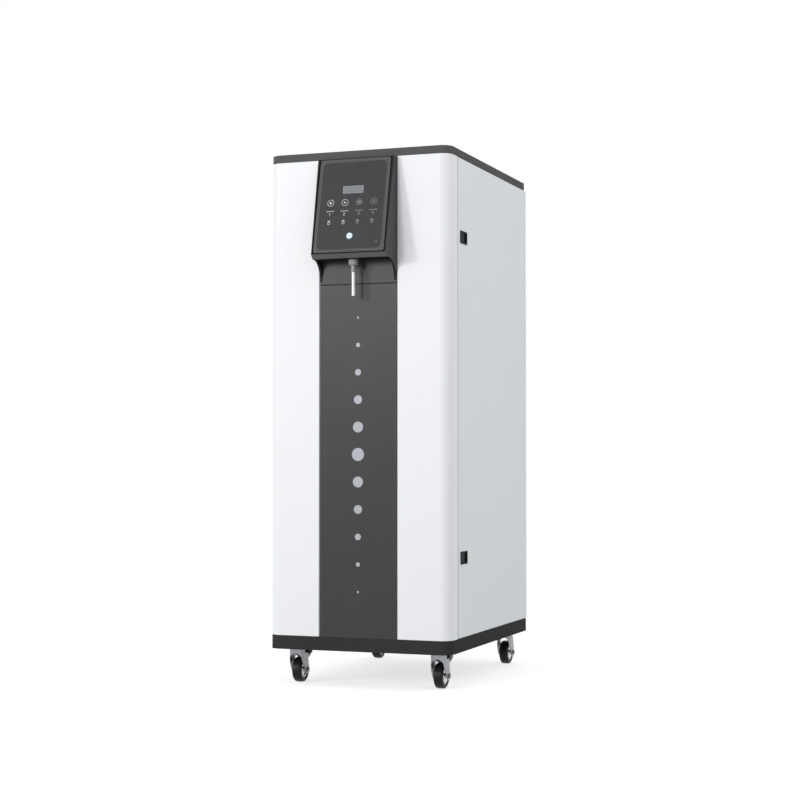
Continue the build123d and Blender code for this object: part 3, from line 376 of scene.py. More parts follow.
def circle(radius, count=48, middle=(0, 0)):
    """Points round a circle."""
    turns = [2 * math.pi * i / count for i in range(count)]
    return [(middle[0] + radius * math.cos(a), middle[1] + radius * math.sin(a)) for a in turns]


def hexagon(radius):
    """The corners of a bolt's head or a nut."""
    return circle(radius, 6)


def in_mm(points):
    """A profile in metres, from one in millimetres."""
    return [(out * mm, up * mm) for out, up in points]


def rounded_rectangle(width, height, radius, middle=(0, 0), steps=5):
    """Points round a rectangle with rounded corners."""
    points = []
    for quarter, (side, end) in enumerate(((1, 1), (-1, 1), (-1, -1), (1, -1))):
        u = middle[0] + side * (width / 2 - radius)
        v = middle[1] + end * (height / 2 - radius)
        for step in range(steps + 1):
            turn = math.pi / 2 * (quarter + step / steps)
            points.append((u + radius * math.cos(turn), v + radius * math.sin(turn)))
    return points


def prism(work, place, outline, low, high, hole=None):
    """A closed prism from an outline, with a hole of as many points if one is given."""
    def loop(points, level):
        return [work.verts.new(place @ Vector((u, v, level))) for u, v in points]

    def wall(lower, upper):
        for i in range(len(lower)):
            j = (i + 1) % len(lower)
            work.faces.new((lower[i], lower[j], upper[j], upper[i]))

    bottom = loop(outline, low)
    top = loop(outline, high)
    wall(bottom, top)
    if hole is None:
        work.faces.new(top)
        work.faces.new(bottom[::-1])
        return
    hole_bottom = loop(hole, low)
    hole_top = loop(hole, high)
    wall(hole_top, hole_bottom)
    wall(top, hole_top)
    wall(hole_bottom, bottom)


def lathe(work, place, profile, count=64, flutes=0, flute_depth=0.0, closed=False):
    """A body turned from radius and height points; a closed profile makes a ring."""
    rings = []
    for radius, height in profile:
        ring = []
        for i in range(count):
            turn = 2 * math.pi * i / count
            dip = flute_depth * (0.5 - 0.5 * math.cos(flutes * turn)) if flutes else 0.0
            r = max(0.0, radius - dip)
            point = Vector((r * math.cos(turn), r * math.sin(turn), height))
            ring.append(work.verts.new(place @ point))
        rings.append(ring)
    following = rings[1:] + rings[:1] if closed else rings[1:]
    for lower, upper in zip(rings, following):
        for i in range(count):
            j = (i + 1) % count
            work.faces.new((lower[i], lower[j], upper[j], upper[i]))
    if closed:
        return
    if profile[0][0] > 0:
        work.faces.new(rings[0][::-1])
    if profile[-1][0] > 0:
        work.faces.new(rings[-1])


def axes_at(origin, across, up, out):
    """A placement from an origin and three axes."""
    place = Matrix((across, up, out)).transposed().to_4x4()
    place.translation = origin
    return place


def middle_of(node):
    """The middle of a solid's box."""
    low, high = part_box(node)
    return (low + high) / 2


def across_at(middle):
    """A placement with its turning axis across the cabinet."""
    return Matrix.Translation(middle) @ Matrix.Rotation(math.pi / 2, 4, "Y")


def on_back(x, z):
    """A placement on the back panel, facing backwards."""
    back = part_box("rear_panel")[1].y
    return axes_at(Vector((x, back, z)), leftward, upward, backward)


def on_face(node):
    """A placement on the control face, at the middle of a node's outer surface."""
    corners = [vertex.co for vertex in frame["nodes"][node].data.vertices]
    level = max(corner.dot(face_out) for corner in corners)
    middle = middle_of(node)
    middle += face_out * (level - middle.dot(face_out))
    return axes_at(middle, rightward, face_up, face_out)


def cap_middle(node):
    """A placement on a key's cap: the middle of its outermost ring of points."""
    cap_layer = 0.05 * mm
    corners = [vertex.co for vertex in frame["nodes"][node].data.vertices]
    level = max(corner.dot(face_out) for corner in corners)
    cap = [corner for corner in corners if level - corner.dot(face_out) < cap_layer]
    middle = Vector([(min(c[i] for c in cap) + max(c[i] for c in cap)) / 2 for i in range(3)])
    return axes_at(middle, rightward, face_up, face_out)


def finish_solids():
    """Rounded copies of the solids that show, each with an edge radius of its own kind."""
    edges = {
        panel_edge: [
            "plinth", "lid", "right_door", "left_door", "front_strip",
            "front_panel_left", "front_panel_right",
        ],
        trim_edge: ["control_bezel", "rear_panel", "power_inlet"],
        small_edge: ["outlet_tube", "right_latch_frames", "left_latch_frames"],
        fine_edge: [
            "control_overlay", "display_window", "strip_dots", "rocker_switch", "dispense_key",
        ],
    }
    pieces = {}
    for width, nodes in edges.items():
        for node in nodes:
            pieces[node] = finished(node, width)
    for number in key_numbers:
        finished(f"key_{number}", fine_edge)
    for side in ("left", "right"):
        for level in ("upper", "lower"):
            finished(f"{side}_latch_{level}", small_edge)
        paint_seam_shade(pieces[f"front_panel_{side}"], 1)
        paint_seam_shade(pieces[f"{side}_door"], -1)
        paint_cup_shade(pieces[f"{side}_latch_frames"])
    line_socket(pieces["power_inlet"])


def paint_seam_shade(piece, facing):
    """Painted shade: the edges that face each other across the seam between front panel and door are painted dark
    grey.
    """
    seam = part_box("right_door")[0].y
    reach = 2 * mm

    def edge(middle, normal):
        return normal.y * facing > same_way and abs(middle.y - seam) < reach

    repaint(piece, "painted_seam_shade", edge)


def paint_cup_shade(piece):
    """Painted shade: the floor and walls of each latch cup, under its flange, are painted black."""
    outer = max(abs(corner.co.x) for corner in piece.data.vertices)
    flange = 0.5 * mm

    def inside(middle, normal):
        return abs(middle.x) < outer - flange

    repaint(piece, "painted_shade_black", inside)


def line_socket(piece):
    """Give the three pins in the mains socket their brass."""
    inlet = middle_of("power_inlet")
    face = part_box("power_inlet")[1].y
    socket_drop, socket_depth = 15 * mm, 17 * mm
    half_width, half_height = 9 * mm, 6 * mm
    floor_layer = 0.5 * mm

    def pin(middle, normal):
        beside = abs(middle.x - inlet.x) < half_width
        level = abs(middle.z - inlet.z + socket_drop) < half_height
        deep = face - socket_depth + floor_layer < middle.y < face - mm
        return beside and level and deep

    repaint(piece, "pin_brass", pin)


def finish_head():
    """The head: its rim, seat and bay painted black as painted shade, a back plate like the strip, and a lip
    painted lighter as painted light.
    """
    head = finished("dispenser_housing", trim_edge)
    strip_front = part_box("front_strip")[0].y
    bay_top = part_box("outlet_fitting")[0].z + nut_foot + nut_height
    cheek_thickness = 5 * mm
    cheek_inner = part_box("dispenser_housing")[1].x - cheek_thickness
    lip_out = Vector((0, -1, -1)).normalized()
    clear_of_strip = 0.02 * mm
    facing_front, facing_down = -0.9, -0.02

    def ahead(middle):
        return middle.y < strip_front - clear_of_strip

    # Painted shade: these faces lie in shade and are painted black: the rim and seat round the bezel, the cheeks'
    # inner sides, the bay's ceiling and the cheeks' lower arcs.
    def black(middle, normal):
        rim_or_seat = normal.dot(face_out) > same_way or abs(normal.dot(face_up)) > same_way
        side = abs(normal.x) > same_way and abs(middle.x) < cheek_inner + mm
        ceiling = normal.z < -same_way and abs(middle.z - bay_top) < mm
        arc = normal.z < facing_down and abs(middle.x) > cheek_inner and middle.z < bay_top
        return ahead(middle) and (rim_or_seat or side or ceiling or arc)

    def back_plate(middle, normal):
        return normal.y < facing_front and middle.z < bay_top and not ahead(middle)

    # Painted light: the lip faces downwards and gets the lighter grey as if lit.
    def lip(middle, normal):
        return normal.dot(lip_out) > same_way and middle.z > bay_top

    repaint(head, "painted_shade_black", black)
    repaint(head, "strip_paint", back_plate)
    repaint(head, "lip_painted_light", lip)


def make_head_seam():
    """A dark strip along the seam between the head and the strip below it, as painted shade for the seam."""
    low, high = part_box("front_strip")
    below, above, proud = 1.0 * mm, 1.2 * mm, 0.06 * mm
    foot, top = high.z - below, high.z + above
    outline = [(low.x, foot), (high.x, foot), (high.x, top), (low.x, top)]
    place = axes_at(Vector((0, low.y, 0)), rightward, upward, forward)
    work = bmesh.new()
    prism(work, place, outline, -mm, proud)
    built_piece("head_seam_shade", work, "painted_shade_black", "cabinet")


def key_icons():
    """The outlines inside each key's ring: a dot, a triangle, two bars and a slim bar."""
    r = icon_radius
    bar_size, bar_shift = (0.8 * r, 2.2 * r, 0.2 * r), 0.75 * r
    slim_size = (0.5 * r, 2.4 * r, 0.2 * r)
    triangle = [(1.15 * r, 0.0), (-0.7 * r, 1.05 * r), (-0.7 * r, -1.05 * r)]
    bars = [rounded_rectangle(*bar_size, (shift, 0)) for shift in (-bar_shift, bar_shift)]
    return [[circle(r)], [triangle], bars, [rounded_rectangle(*slim_size)]]


def make_key_prints():
    """The printed ring and icon on each round key; the last two are dimmer."""
    ring_inks = ("print_white", "print_white", "print_dim", "print_dim")
    icon_inks = ("print_white", "print_white", "print_grey", "print_grey")
    inner = circle(ring_radius - ring_width)
    for number, icon in enumerate(key_icons(), start=1):
        node = f"key_{number}"
        place = cap_middle(node)
        ring = bmesh.new()
        prism(ring, place, circle(ring_radius), *print_levels, hole=inner)
        built_piece(f"{node}_ring", ring, ring_inks[number - 1], body_of_node[node])
        marks = bmesh.new()
        for outline in icon:
            prism(marks, place, outline, *print_levels)
        built_piece(f"{node}_icon", marks, icon_inks[number - 1], body_of_node[node])


# The strokes of plain numerals in a box one unit high, as pairs of ends, and the box's middle
numeral_strokes = {
    1: [((0.3, 0.0), (0.3, 1.0)), ((0.3, 1.0), (0.08, 0.8))],
    2: [
        ((0.0, 1.0), (0.6, 1.0)), ((0.6, 1.0), (0.6, 0.5)), ((0.6, 0.5), (0.0, 0.5)),
        ((0.0, 0.5), (0.0, 0.0)), ((0.0, 0.0), (0.6, 0.0)),
    ],
    3: [
        ((0.0, 1.0), (0.6, 1.0)), ((0.6, 1.0), (0.6, 0.0)), ((0.1, 0.5), (0.6, 0.5)),
        ((0.0, 0.0), (0.6, 0.0)),
    ],
    4: [((0.0, 1.0), (0.0, 0.45)), ((0.0, 0.45), (0.6, 0.45)), ((0.5, 1.0), (0.5, 0.0))],
}
numeral_middle = (0.3, 0.5)
numeral_stroke = 0.07


def draw_numeral(work, place, number, height, middle, levels):
    """A plain numeral made of thin straight strokes."""
    def scaled(point):
        return Vector([(point[i] - numeral_middle[i]) * height + middle[i] for i in range(2)])

    for ends in numeral_strokes[number]:
        start, end = scaled(ends[0]), scaled(ends[1])
        along = (end - start).normalized() * (height * numeral_stroke)
        side = Vector((-along.y, along.x))
        corners = (
            start - along - side, end + along - side, end + along + side, start - along + side,
        )
        prism(work, place, [tuple(corner) for corner in corners], *levels)


def make_face_prints():
    """Marks on the face sheet: dashes, a numeral and an indicator pair under each key."""
    body = body_of_node["control_overlay"]
    face = on_face("control_overlay")
    to_face = face.inverted()
    dash_count, dash_pitch, dash_drop = 4, 4.3 * mm, 17.5 * mm
    dash_size = (3.3 * mm, 1.3 * mm, 0.4 * mm)
    numeral_height, numeral_drop = 5.2 * mm, 24 * mm
    window_shift, window_drop = 0.6 * mm, 41 * mm
    window_outer = (5.2 * mm, 8.6 * mm, 1.0 * mm)
    window_inner = (3.6 * mm, 7.0 * mm, 0.4 * mm)
    lamp_size, lamp_rise = (2.2 * mm, 2.4 * mm, 0.4 * mm), 1.6 * mm
    corner_dot, corner_dot_place = 0.8 * mm, (58 * mm, -78.2 * mm)
    marks = bmesh.new()
    dim_marks = bmesh.new()
    for number in key_numbers:
        spot = to_face @ cap_middle(f"key_{number}").translation
        work = marks if number < 3 else dim_marks
        for dash in range(dash_count):
            u = spot.x + (dash - (dash_count - 1) / 2) * dash_pitch
            outline = rounded_rectangle(*dash_size, (u, spot.y - dash_drop))
            prism(work, face, outline, *print_levels)
        numeral_place = (spot.x, spot.y - numeral_drop)
        draw_numeral(work, face, number, numeral_height, numeral_place, print_levels)
        window = (spot.x - window_shift, spot.y - window_drop)
        outer = rounded_rectangle(*window_outer, window)
        inner = rounded_rectangle(*window_inner, window)
        prism(work, face, outer, *print_levels, hole=inner)
        lamp = rounded_rectangle(*lamp_size, (window[0], window[1] + lamp_rise))
        prism(work, face, lamp, *print_levels)
    prism(marks, face, circle(corner_dot, dot_points, corner_dot_place), *print_levels)
    built_piece("face_marks_left", marks, "print_white", body)
    built_piece("face_marks_right", dim_marks, "print_grey", body)


def make_display_cells():
    """Two rows of character cells, slightly darker than the pane."""
    body = body_of_node["display_window"]
    pane = on_face("display_window")
    low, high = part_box("display_window")
    columns, margins = 12, 5 * mm
    pitch = (high.x - low.x - margins) / columns
    cell_share, cell_height, cell_corner, row_shift = 0.78, 5.2 * mm, 0.2 * mm, 3.3 * mm
    work = bmesh.new()
    for row in (-1, 1):
        for column in range(columns):
            middle = ((column - (columns - 1) / 2) * pitch, row * row_shift)
            cell = rounded_rectangle(pitch * cell_share, cell_height, cell_corner, middle, steps=2)
            prism(work, pane, cell, *print_levels)
    built_piece("display_cells", work, "display_cell", body)


def make_dispense_print():
    """The dispense key's dark blue rim and small centre mark."""
    rim_outer, rim_inner, centre_mark = 6.9 * mm, 5.9 * mm, 1.2 * mm
    place = cap_middle("dispense_key")
    work = bmesh.new()
    prism(work, place, circle(rim_outer), *print_levels, hole=circle(rim_inner))
    prism(work, place, circle(centre_mark, dot_points), *print_levels)
    built_piece("dispense_key_print", work, "dispense_ring", body_of_node["dispense_key"])


def make_outlet():
    """The outlet's fluted nut over its plain collar and stem."""
    low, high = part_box("outlet_fitting")
    middle = (low + high) / 2
    radius = (high.x - low.x) / 2
    nut_low = low.z + nut_foot
    nut_high = nut_low + nut_height
    collar, bore, bore_depth = 5 * mm, 3.4 * mm, 2 * mm
    collar_edge, low_edge, high_edge = 0.6 * mm, 1.4 * mm, 0.8 * mm
    flange, flange_root = collar + 1.5 * mm, nut_low - 1.2 * mm
    flange_low, flange_high = nut_low - 0.6 * mm, nut_low + 0.4 * mm
    place = Matrix.Translation((middle.x, middle.y, 0))
    work = bmesh.new()
    lathe(work, place, [
        (bore, low.z + bore_depth),
        (bore, low.z),
        (collar - collar_edge, low.z),
        (collar, low.z + collar_edge),
        (collar, flange_root),
        (flange, flange_low),
        (flange, flange_high),
    ])
    lathe(work, place, [
        (collar, nut_low),
        (radius - low_edge, nut_low),
        (radius, nut_low + low_edge),
        (radius, nut_high - high_edge),
        (radius - high_edge, nut_high),
        (collar, nut_high),
    ], count=144, flutes=18, flute_depth=0.7 * mm)
    lathe(work, place, [
        (collar, nut_high - mm),
        (collar, high.z),
        (bore, high.z),
        (bore, high.z - bore_depth),
    ])
    outlet = built_piece("outlet_nut", work, "nut_plastic", "cabinet", fine_edge)
    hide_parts("outlet_fitting")


def tyre_profile(radius, half, hole):
    """Half-round shoulders, a slightly crowned tread and a step beside the hub."""
    shoulder, crown, inset, steps = 4 * mm, 0.2 * mm, 0.6 * mm, 6
    step_foot, step_top = hole + 1.5 * mm, hole + 2.5 * mm
    side = [(hole, half - inset), (step_foot, half - inset), (step_top, half)]
    for step in range(steps + 1):
        turn = math.pi / 2 * step / steps
        r = radius - crown - shoulder * (1 - math.sin(turn))
        side.append((r, half - shoulder * (1 - math.cos(turn))))
    return side + [(radius, 0.0)] + [(r, -h) for r, h in reversed(side)]


def make_wheels():
    """Tyres, dished hubs and bolt heads on all four castors."""
    hub_radius = 15.5 * mm
    for name in castor_names:
        node = f"{name}_tyre"
        body = body_of_node[node]
        low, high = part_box(node)
        work = bmesh.new()
        profile = tyre_profile((high.z - low.z) / 2, (high.x - low.x) / 2, hub_radius)
        lathe(work, across_at((low + high) / 2), profile, count=96, closed=True)
        tyre = built_piece(f"{node}_moulded", work, "tyre_rubber", body)
        for face in tyre.data.polygons:
            face.use_smooth = True
        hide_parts(node)
        finished(f"{name}_hub", small_edge)
        make_axle_bolt(f"{name}_axle")


def make_axle_bolt(node):
    """The wheel's bolt: a shaft with a washer, a hexagon head and a low crown at each end."""
    low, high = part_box(node)
    middle = (low + high) / 2
    half = (high.x - low.x) / 2
    radius = (high.z - low.z) / 2
    shaft, head_radius = 3 * mm, radius * 0.94
    crown_foot, crown_top = 2.6 * mm, 2.2 * mm
    washer_low, washer_high = half - 3 * mm, half - 2.3 * mm
    head_high, crown_high = half - 0.3 * mm, half - 0.05 * mm
    work = bmesh.new()
    lathe(work, across_at(middle), [(shaft, -half + mm), (shaft, half - mm)], count=32)
    for side in (-1, 1):
        place = Matrix.Translation(middle) @ Matrix.Rotation(side * math.pi / 2, 4, "Y")
        lathe(work, place, [(radius, washer_low), (radius, washer_high)], count=40)
        prism(work, place, hexagon(head_radius), washer_high, head_high)
        lathe(work, place, [(crown_foot, head_high), (crown_top, crown_high)], count=24)
    body = body_of_node[node]
    bolt = built_piece(f"{node}_bolt", work, "axle_steel", body, small_edge)
    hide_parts(node)


def finish_castors():
    """Rounded forks, brakes and top plates, and the bolts that hold the plates."""
    for name in castor_names:
        finished(f"{name}_fork", trim_edge, segments=3)
    for name in ("front_left", "front_right"):
        finished(f"{name}_brake", trim_edge, segments=3)
    finished("castor_plates", small_edge)
    plate_thickness, trail, bolt_spread = 2.5 * mm, 16 * mm, 20 * mm
    head_radius, head_height = 3.8 * mm, 1.8 * mm
    washer_radius, washer_low, washer_high = 4.4 * mm, -0.5 * mm, 0.05 * mm
    washer = [(washer_radius, washer_low), (washer_radius, washer_high)]
    plate_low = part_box("base_plate")[0].z - plate_thickness
    work = bmesh.new()
    for name in castor_names:
        middle = middle_of(f"{name}_axle")
        for u in (-bolt_spread, bolt_spread):
            for v in (-bolt_spread, bolt_spread):
                spot = (middle.x + u, middle.y - trail + v, plate_low)
                place = Matrix.Translation(spot)
                prism(work, place, hexagon(head_radius), -head_height, 0)
                lathe(work, place, washer, count=24)
    built_piece("castor_bolts", work, "screw_steel", "cabinet", fine_edge)


# A button head with a round socket, as shares of its radius
screw_shares = [
    (1, 0), (1, 0.25), (0.8, 0.42), (0.5, 0.48), (0.42, 0.4), (0.42, 0.12), (0, 0.12),
]


def add_screw(work, place, radius=3.2 * mm):
    """The head of a low button screw."""
    lathe(work, place, [(out * radius, up * radius) for out, up in screw_shares], count=36)


def make_back_screws():
    """Button screws down the sides of the back panel and along its ends."""
    low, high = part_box("rear_panel")
    edge, end = 8 * mm, 15 * mm
    side_screws, middle_screw = 5, 55 * mm
    work = bmesh.new()
    for x in (low.x + edge, high.x - edge):
        for row in range(side_screws):
            z = low.z + end + row * (high.z - low.z - 2 * end) / (side_screws - 1)
            add_screw(work, on_back(x, z))
    for x in (-middle_screw, middle_screw):
        for z in (low.z + edge, high.z - end):
            add_screw(work, on_back(x, z))
    built_piece("back_screws", work, "axle_steel", "cabinet")


def make_louvre_hoods():
    """A pressed hood over each louvre slot in the back panel."""
    outer = [(0.0, 8.0), (1.6, 7.4), (3.0, 5.6), (3.8, 3.2), (4.0, 0.8)]
    inner = [(3.2, 0.8), (3.0, 3.0), (2.3, 4.8), (1.1, 6.2), (-0.2, 6.6)]
    wall = in_mm(outer + inner)
    cheek = in_mm(outer + [(-0.2, 0.8)])
    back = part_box("rear_panel")[1].y
    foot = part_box("plinth")[0].z
    half, cheek_thickness = 45.5 * mm, 0.8 * mm
    column_middle, blocks, slots, pitch = 65 * mm, (180 * mm, 800 * mm), 9, 14 * mm
    work = bmesh.new()
    for column in (-column_middle, column_middle):
        for block in blocks:
            for slot in range(slots):
                origin = Vector((column, back, foot + block + slot * pitch))
                place = axes_at(origin, backward, upward, rightward)
                prism(work, place, wall, -half, half)
                prism(work, place, cheek, -half, -half + cheek_thickness)
                prism(work, place, cheek, half - cheek_thickness, half)
    built_piece("louvre_hoods", work, "rear_white", "cabinet")


def make_ports():
    """Push-in ports: a hexagon, a ribbed collar and a coloured release ring, with numbers."""
    low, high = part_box("water_ports")
    reach = high.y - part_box("rear_panel")[1].y
    height = (low.z + high.z) / 2
    columns = (-90 * mm, -50 * mm, -10 * mm)
    bore, nut_radius, nut_depth = 3.2 * mm, 9.8 * mm, 6 * mm
    stem, stem_low, stem_high = 6 * mm, -12 * mm, 0.1 * mm
    collar, collar_edge, collar_low = 7 * mm, 6.2 * mm, 3 * mm
    collar_shoulder, collar_high = reach - 3.4 * mm, reach - 2.6 * mm
    sleeve, sleeve_low = 4.6 * mm, reach - 5 * mm
    button, button_edge = 5.8 * mm, 5.4 * mm
    button_low, button_shoulder = reach - 1.2 * mm, reach - 0.2 * mm
    number_height, number_rise, number_levels = 7 * mm, 17 * mm, (0, 0.08 * mm)
    nut = [(u, v) for v, u in hexagon(nut_radius)]
    collars = bmesh.new()
    rings = bmesh.new()
    numbers = bmesh.new()
    for number, x in enumerate(columns, start=1):
        place = on_back(x, height)
        prism(collars, place, nut, 0, nut_depth)
        lathe(collars, place, [(stem, stem_low), (stem, stem_high)], count=40)
        lathe(collars, place, [
            (bore, collar_low),
            (collar, collar_low),
            (collar, collar_shoulder),
            (collar_edge, collar_high),
            (bore, collar_high),
        ], count=72, flutes=12, flute_depth=0.3 * mm, closed=True)
        lathe(rings, place, [
            (bore, sleeve_low),
            (sleeve, sleeve_low),
            (sleeve, button_low),
            (button, button_low),
            (button, button_shoulder),
            (button_edge, reach),
            (bore, reach),
        ], count=48, closed=True)
        draw_numeral(numbers, place, number, number_height, (0, number_rise), number_levels)
    ports = built_piece(
        "port_collars", collars, "port_plastic", "cabinet", small_edge,
    )
    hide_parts("water_ports")
    built_piece("port_release_rings", rings, "port_release", "cabinet", fine_edge)
    built_piece("port_numbers", numbers, "print_dim", "cabinet")


def make_rocker_marks():
    """A bar and a ring on the two halves of the mains rocker, which slope apart."""
    across = middle_of("rocker_switch").x
    bar_place = Vector((across, 286.13 * mm, 594.4 * mm))
    bar_size, bar_height = (0.9 * mm, 3.6 * mm, 0.2 * mm), 0.06 * mm
    bar_axes = axes_at(bar_place, leftward, upward, backward)
    ring_place = Vector((across, 287.38 * mm, 587.45 * mm))
    ring_out = Vector((0, 0.94, 0.342)).normalized()
    ring_up = Vector((0, -ring_out.z, ring_out.y))
    outer, inner, points, ring_height = 2 * mm, 1.3 * mm, 32, 0.08 * mm
    ring_axes = axes_at(ring_place, leftward, ring_up, ring_out)
    marks = bmesh.new()
    prism(marks, bar_axes, rounded_rectangle(*bar_size), 0, bar_height)
    hole = circle(inner, points)
    prism(marks, ring_axes, circle(outer, points), 0, ring_height, hole=hole)
    built_piece("rocker_marks", marks, "print_white", body_of_node["rocker_switch"])


def make_filters():
    """Ribbed filter bowls with a collar, under blue heads."""
    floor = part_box("prefilter_housings")[0].z
    across = middle_of("prefilter_housings").x
    bowl_profile = in_mm([(38, 0), (44, 2), (48, 8), (49, 60), (51, 200), (52, 225)])
    collar_profile = in_mm([(53.5, 224), (53.5, 251)])
    head_profile = in_mm([(57, 250), (60, 253), (60, 288), (56, 298), (22, 298)])
    bowls = bmesh.new()
    heads = bmesh.new()
    for y in filter_rows:
        place = Matrix.Translation((across, y * mm, floor))
        lathe(bowls, place, bowl_profile, count=144, flutes=18, flute_depth=1.6 * mm)
        lathe(bowls, place, collar_profile, count=96)
        lathe(heads, place, head_profile, count=120, flutes=24, flute_depth=1.2 * mm)
    bowl = built_piece(
        "filter_bowls", bowls, "filter_plastic", "cabinet", small_edge,
    )
    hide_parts("prefilter_housings")
    built_piece("filter_heads", heads, "cap_blue", "cabinet", small_edge)


def finish_cartridges():
    """Coloured end caps on the cartridges and the membrane housings."""
    foot_cap, head_cap = 26.1 * mm, 38.1 * mm
    for node in ("deioniser_cartridges", "membrane_housings"):
        low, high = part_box(node)
        piece = finished(node, trim_edge)

        def cap(middle, normal, foot=low.z + foot_cap, head=high.z - head_cap):
            return middle.z < foot or middle.z > head

        repaint(piece, "cap_blue", cap)


def make_tank():
    """The pressure tank: a foot ring, domed ends, a welded belt and a stepped neck."""
    low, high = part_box("storage_tank")
    middle = (low + high) / 2
    radius = (high.x - low.x) / 2
    foot_radius, foot_height, neck_height, steps = 80 * mm, 14 * mm, 12 * mm, 10
    belt = ((-5, 0), (-4, 1.2), (4, 1.2), (5, 0))
    neck = ((14, 1), (9, 2), (9, 6), (6, 6))
    floor = low.z + foot_height
    top = high.z - neck_height
    waist = (floor + top) / 2
    start = math.acos(foot_radius / radius)

    def dome(step):
        turn = start * step / steps
        rise = radius / 2 * (1 - math.sin(turn) / math.sin(start))
        return radius * math.cos(turn), rise

    profile = [(foot_radius, low.z), (foot_radius, floor)]
    for step in range(steps, -1, -1):
        r, rise = dome(step)
        profile.append((r, floor + rise))
    for rise, proud in belt:
        profile.append((radius + proud * mm, waist + rise * mm))
    for step in range(steps + 1):
        r, rise = dome(step)
        profile.append((r, top - rise))
    profile += [(r * mm, top + rise * mm) for r, rise in neck]
    profile.append((neck[-1][0] * mm, high.z))
    work = bmesh.new()
    lathe(work, Matrix.Translation((middle.x, middle.y, 0)), profile, count=128)
    tank = built_piece("tank_shell", work, "tank_paint", "cabinet", small_edge)
    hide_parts("storage_tank")


def make_pump_details():
    """Cooling fins round the pump's motor and screws in its head."""
    finished("booster_pump", small_edge)
    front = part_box("booster_pump")[0].y
    motor_height = 156.5 * mm
    motor = Vector((middle_of("booster_pump").x, 0, motor_height))
    fin_count, first_fin, fin_pitch = 14, -112 * mm, 6.5 * mm
    root, tip = 43 * mm, 46.5 * mm
    fin_profile = [(root, 0), (tip, 0.4 * mm), (tip, 1.6 * mm), (root, 2 * mm)]
    screw_spread, screw_radius = 34 * mm, 4 * mm
    backwards = Matrix.Rotation(-math.pi / 2, 4, "X")
    forwards = Matrix.Rotation(math.pi / 2, 4, "X")
    fins = bmesh.new()
    for fin in range(fin_count):
        spot = (motor.x, first_fin + fin * fin_pitch, motor.z)
        lathe(fins, Matrix.Translation(spot) @ backwards, fin_profile, count=72)
    built_piece("pump_fins", fins, "pump_metal", "cabinet")
    screws = bmesh.new()
    for u in (-screw_spread, screw_spread):
        for v in (-screw_spread, screw_spread):
            spot = (motor.x + u, front, motor.z + v)
            add_screw(screws, Matrix.Translation(spot) @ forwards, screw_radius)
    built_piece("pump_screws", screws, "screw_steel", "cabinet")


def make_supply_details():
    """Vent slots as flat black patches of painted shade, and lid screws on the power supply."""
    finished("power_supply", small_edge)
    low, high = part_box("power_supply")
    vent_count, first_vent, vent_pitch, vent_inset = 16, 22 * mm, 7 * mm, 32 * mm
    vent_size, vent_levels = (36 * mm, 2.6 * mm, 1.2 * mm), (-0.2 * mm, 0.06 * mm)
    vent = rounded_rectangle(*vent_size)
    screw_inset, screw_radius = 8 * mm, 3 * mm
    slots = bmesh.new()
    for i in range(vent_count):
        y = low.y + first_vent + i * vent_pitch
        for x in (low.x + vent_inset, high.x - vent_inset):
            prism(slots, Matrix.Translation((x, y, high.z)), vent, *vent_levels)
    built_piece("supply_vents_shade", slots, "painted_shade_black", "cabinet")
    screws = bmesh.new()
    for x in (low.x + screw_inset, high.x - screw_inset):
        for y in (low.y + screw_inset, high.y - screw_inset):
            add_screw(screws, Matrix.Translation((x, y, high.z)), screw_radius)
    built_piece("supply_screws", screws, "screw_steel", "cabinet")


def hose_ports():
    """The middle of every hose port's top face, on the housings, the pump and the tank."""
    def top_of(node):
        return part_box(node)[1].z

    spots = []
    for node, rows in (
        ("prefilter_housings", filter_rows),
        ("deioniser_cartridges", deioniser_rows),
    ):
        across = middle_of(node).x
        spots += [(across, (y + port) * mm, top_of(node)) for y in rows for port in wide_ports]
    for x in membrane_columns:
        for port in membrane_ports:
            spots.append((x * mm, (membrane_row + port) * mm, top_of("membrane_housings")))
    across = middle_of("booster_pump").x
    for port in pump_ports:
        spots.append((across + port * mm, pump_port_row * mm, top_of("booster_pump")))
    tank = middle_of("storage_tank")
    spots.append((tank.x, tank.y, top_of("storage_tank")))
    return spots


def make_hose_nuts():
    """A fluted nut over every hose port."""
    profile = in_mm([(7.6, -11), (8.4, -10), (8.4, 1), (6, 4), (4.4, 4)])
    work = bmesh.new()
    for spot in hose_ports():
        place = Matrix.Translation(spot)
        lathe(work, place, profile, count=72, flutes=12, flute_depth=0.6 * mm)
    built_piece("hose_nuts", work, "port_plastic", "cabinet", fine_edge)


def make_camera():
    """The camera that took the photograph."""
    data = bpy.data.cameras.new("camera")
    data.lens = camera_lens
    data.sensor_width = camera_sensor
    camera = bpy.data.objects.new("camera", data)
    camera.location = camera_place
    camera.rotation_euler = (math.radians(camera_pitch), 0, math.radians(camera_yaw))
    bpy.context.scene.collection.objects.link(camera)
    bpy.context.scene.camera = camera


def seen_directly(tree):
    """1 for rays that show the background: from the camera, in a reflection or through glass."""
    path = tree.nodes.new("ShaderNodeLightPath")
    first = tree.nodes.new("ShaderNodeMath")
    first.operation = "MAXIMUM"
    tree.links.new(path.outputs["Is Camera Ray"], first.inputs[0])
    tree.links.new(path.outputs["Is Glossy Ray"], first.inputs[1])
    second = tree.nodes.new("ShaderNodeMath")
    second.operation = "MAXIMUM"
    tree.links.new(first.outputs["Value"], second.inputs[0])
    tree.links.new(path.outputs["Is Transmission Ray"], second.inputs[1])
    return second.outputs["Value"]


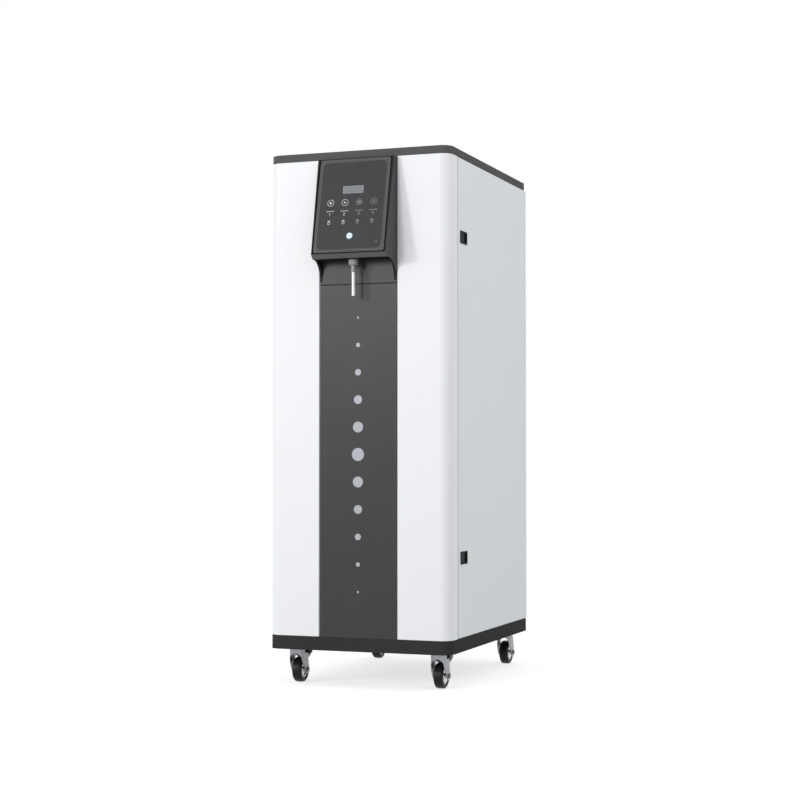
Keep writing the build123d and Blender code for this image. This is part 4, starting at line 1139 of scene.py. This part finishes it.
def make_world():
    """A white background, and a softer even light."""
    world = bpy.data.worlds.new("world")
    world.use_nodes = True
    tree = world.node_tree
    tree.nodes.clear()
    shown = tree.nodes.new("ShaderNodeBackground")
    shown.inputs["Color"].default_value = (1.0, 1.0, 1.0, 1.0)
    lighting = tree.nodes.new("ShaderNodeBackground")
    lighting.inputs["Color"].default_value = (*ambient_tint, 1.0)
    lighting.inputs["Strength"].default_value = ambient
    mix = tree.nodes.new("ShaderNodeMixShader")
    out = tree.nodes.new("ShaderNodeOutputWorld")
    tree.links.new(seen_directly(tree), mix.inputs["Fac"])
    tree.links.new(lighting.outputs["Background"], mix.inputs[1])
    tree.links.new(shown.outputs["Background"], mix.inputs[2])
    tree.links.new(mix.outputs["Shader"], out.inputs["Surface"])
    bpy.context.scene.world = world


def make_floor():
    """A pale floor that shows white where it is lit and keeps the shadow."""
    mesh = bpy.data.meshes.new("floor")
    work = bmesh.new()
    bmesh.ops.create_grid(work, x_segments=1, y_segments=1, size=floor_size / 2)
    work.to_mesh(mesh)
    work.free()
    floor = bpy.data.objects.new("floor", mesh)
    bpy.context.scene.collection.objects.link(floor)
    material = bpy.data.materials.new("floor")
    material.use_nodes = True
    tree = material.node_tree
    tree.nodes.clear()
    matt = tree.nodes.new("ShaderNodeBsdfDiffuse")
    matt.inputs["Color"].default_value = (floor_tone, floor_tone, floor_tone, 1.0)
    glow = tree.nodes.new("ShaderNodeEmission")
    strength = tree.nodes.new("ShaderNodeMath")
    strength.operation = "MULTIPLY"
    strength.inputs[1].default_value = floor_glow
    add = tree.nodes.new("ShaderNodeAddShader")
    out = tree.nodes.new("ShaderNodeOutputMaterial")
    tree.links.new(seen_directly(tree), strength.inputs[0])
    tree.links.new(strength.outputs["Value"], glow.inputs["Strength"])
    tree.links.new(matt.outputs["BSDF"], add.inputs[0])
    tree.links.new(glow.outputs["Emission"], add.inputs[1])
    tree.links.new(add.outputs["Shader"], out.inputs["Surface"])
    mesh.materials.append(material)


def make_lamp(name, place, target, size, power):
    """A soft square lamp aimed at a point."""
    data = bpy.data.lights.new(name, "AREA")
    data.shape = "RECTANGLE"
    data.size = size
    data.size_y = size
    data.energy = power
    lamp = bpy.data.objects.new(name, data)
    lamp.location = place
    lamp.rotation_euler = (Vector(target) - Vector(place)).to_track_quat("-Z", "Y").to_euler()
    bpy.context.scene.collection.objects.link(lamp)


make_paints()
make_plastics()
make_metals()
paint_solids()
finish_solids()
finish_head()
make_key_prints()
make_face_prints()
make_display_cells()
make_dispense_print()
make_outlet()
make_head_seam()
make_wheels()
finish_castors()
make_back_screws()
make_louvre_hoods()
make_ports()
make_rocker_marks()
make_filters()
finish_cartridges()
make_tank()
make_pump_details()
make_supply_details()
make_hose_nuts()
make_camera()
make_world()
make_floor()
make_lamp("key", key_place, key_target, key_size, key_power)
make_lamp("front", front_place, front_target, front_size, front_power)
make_lamp("fill", fill_place, fill_target, fill_size, fill_power)
bpy.context.scene.view_settings.view_transform = "Standard"
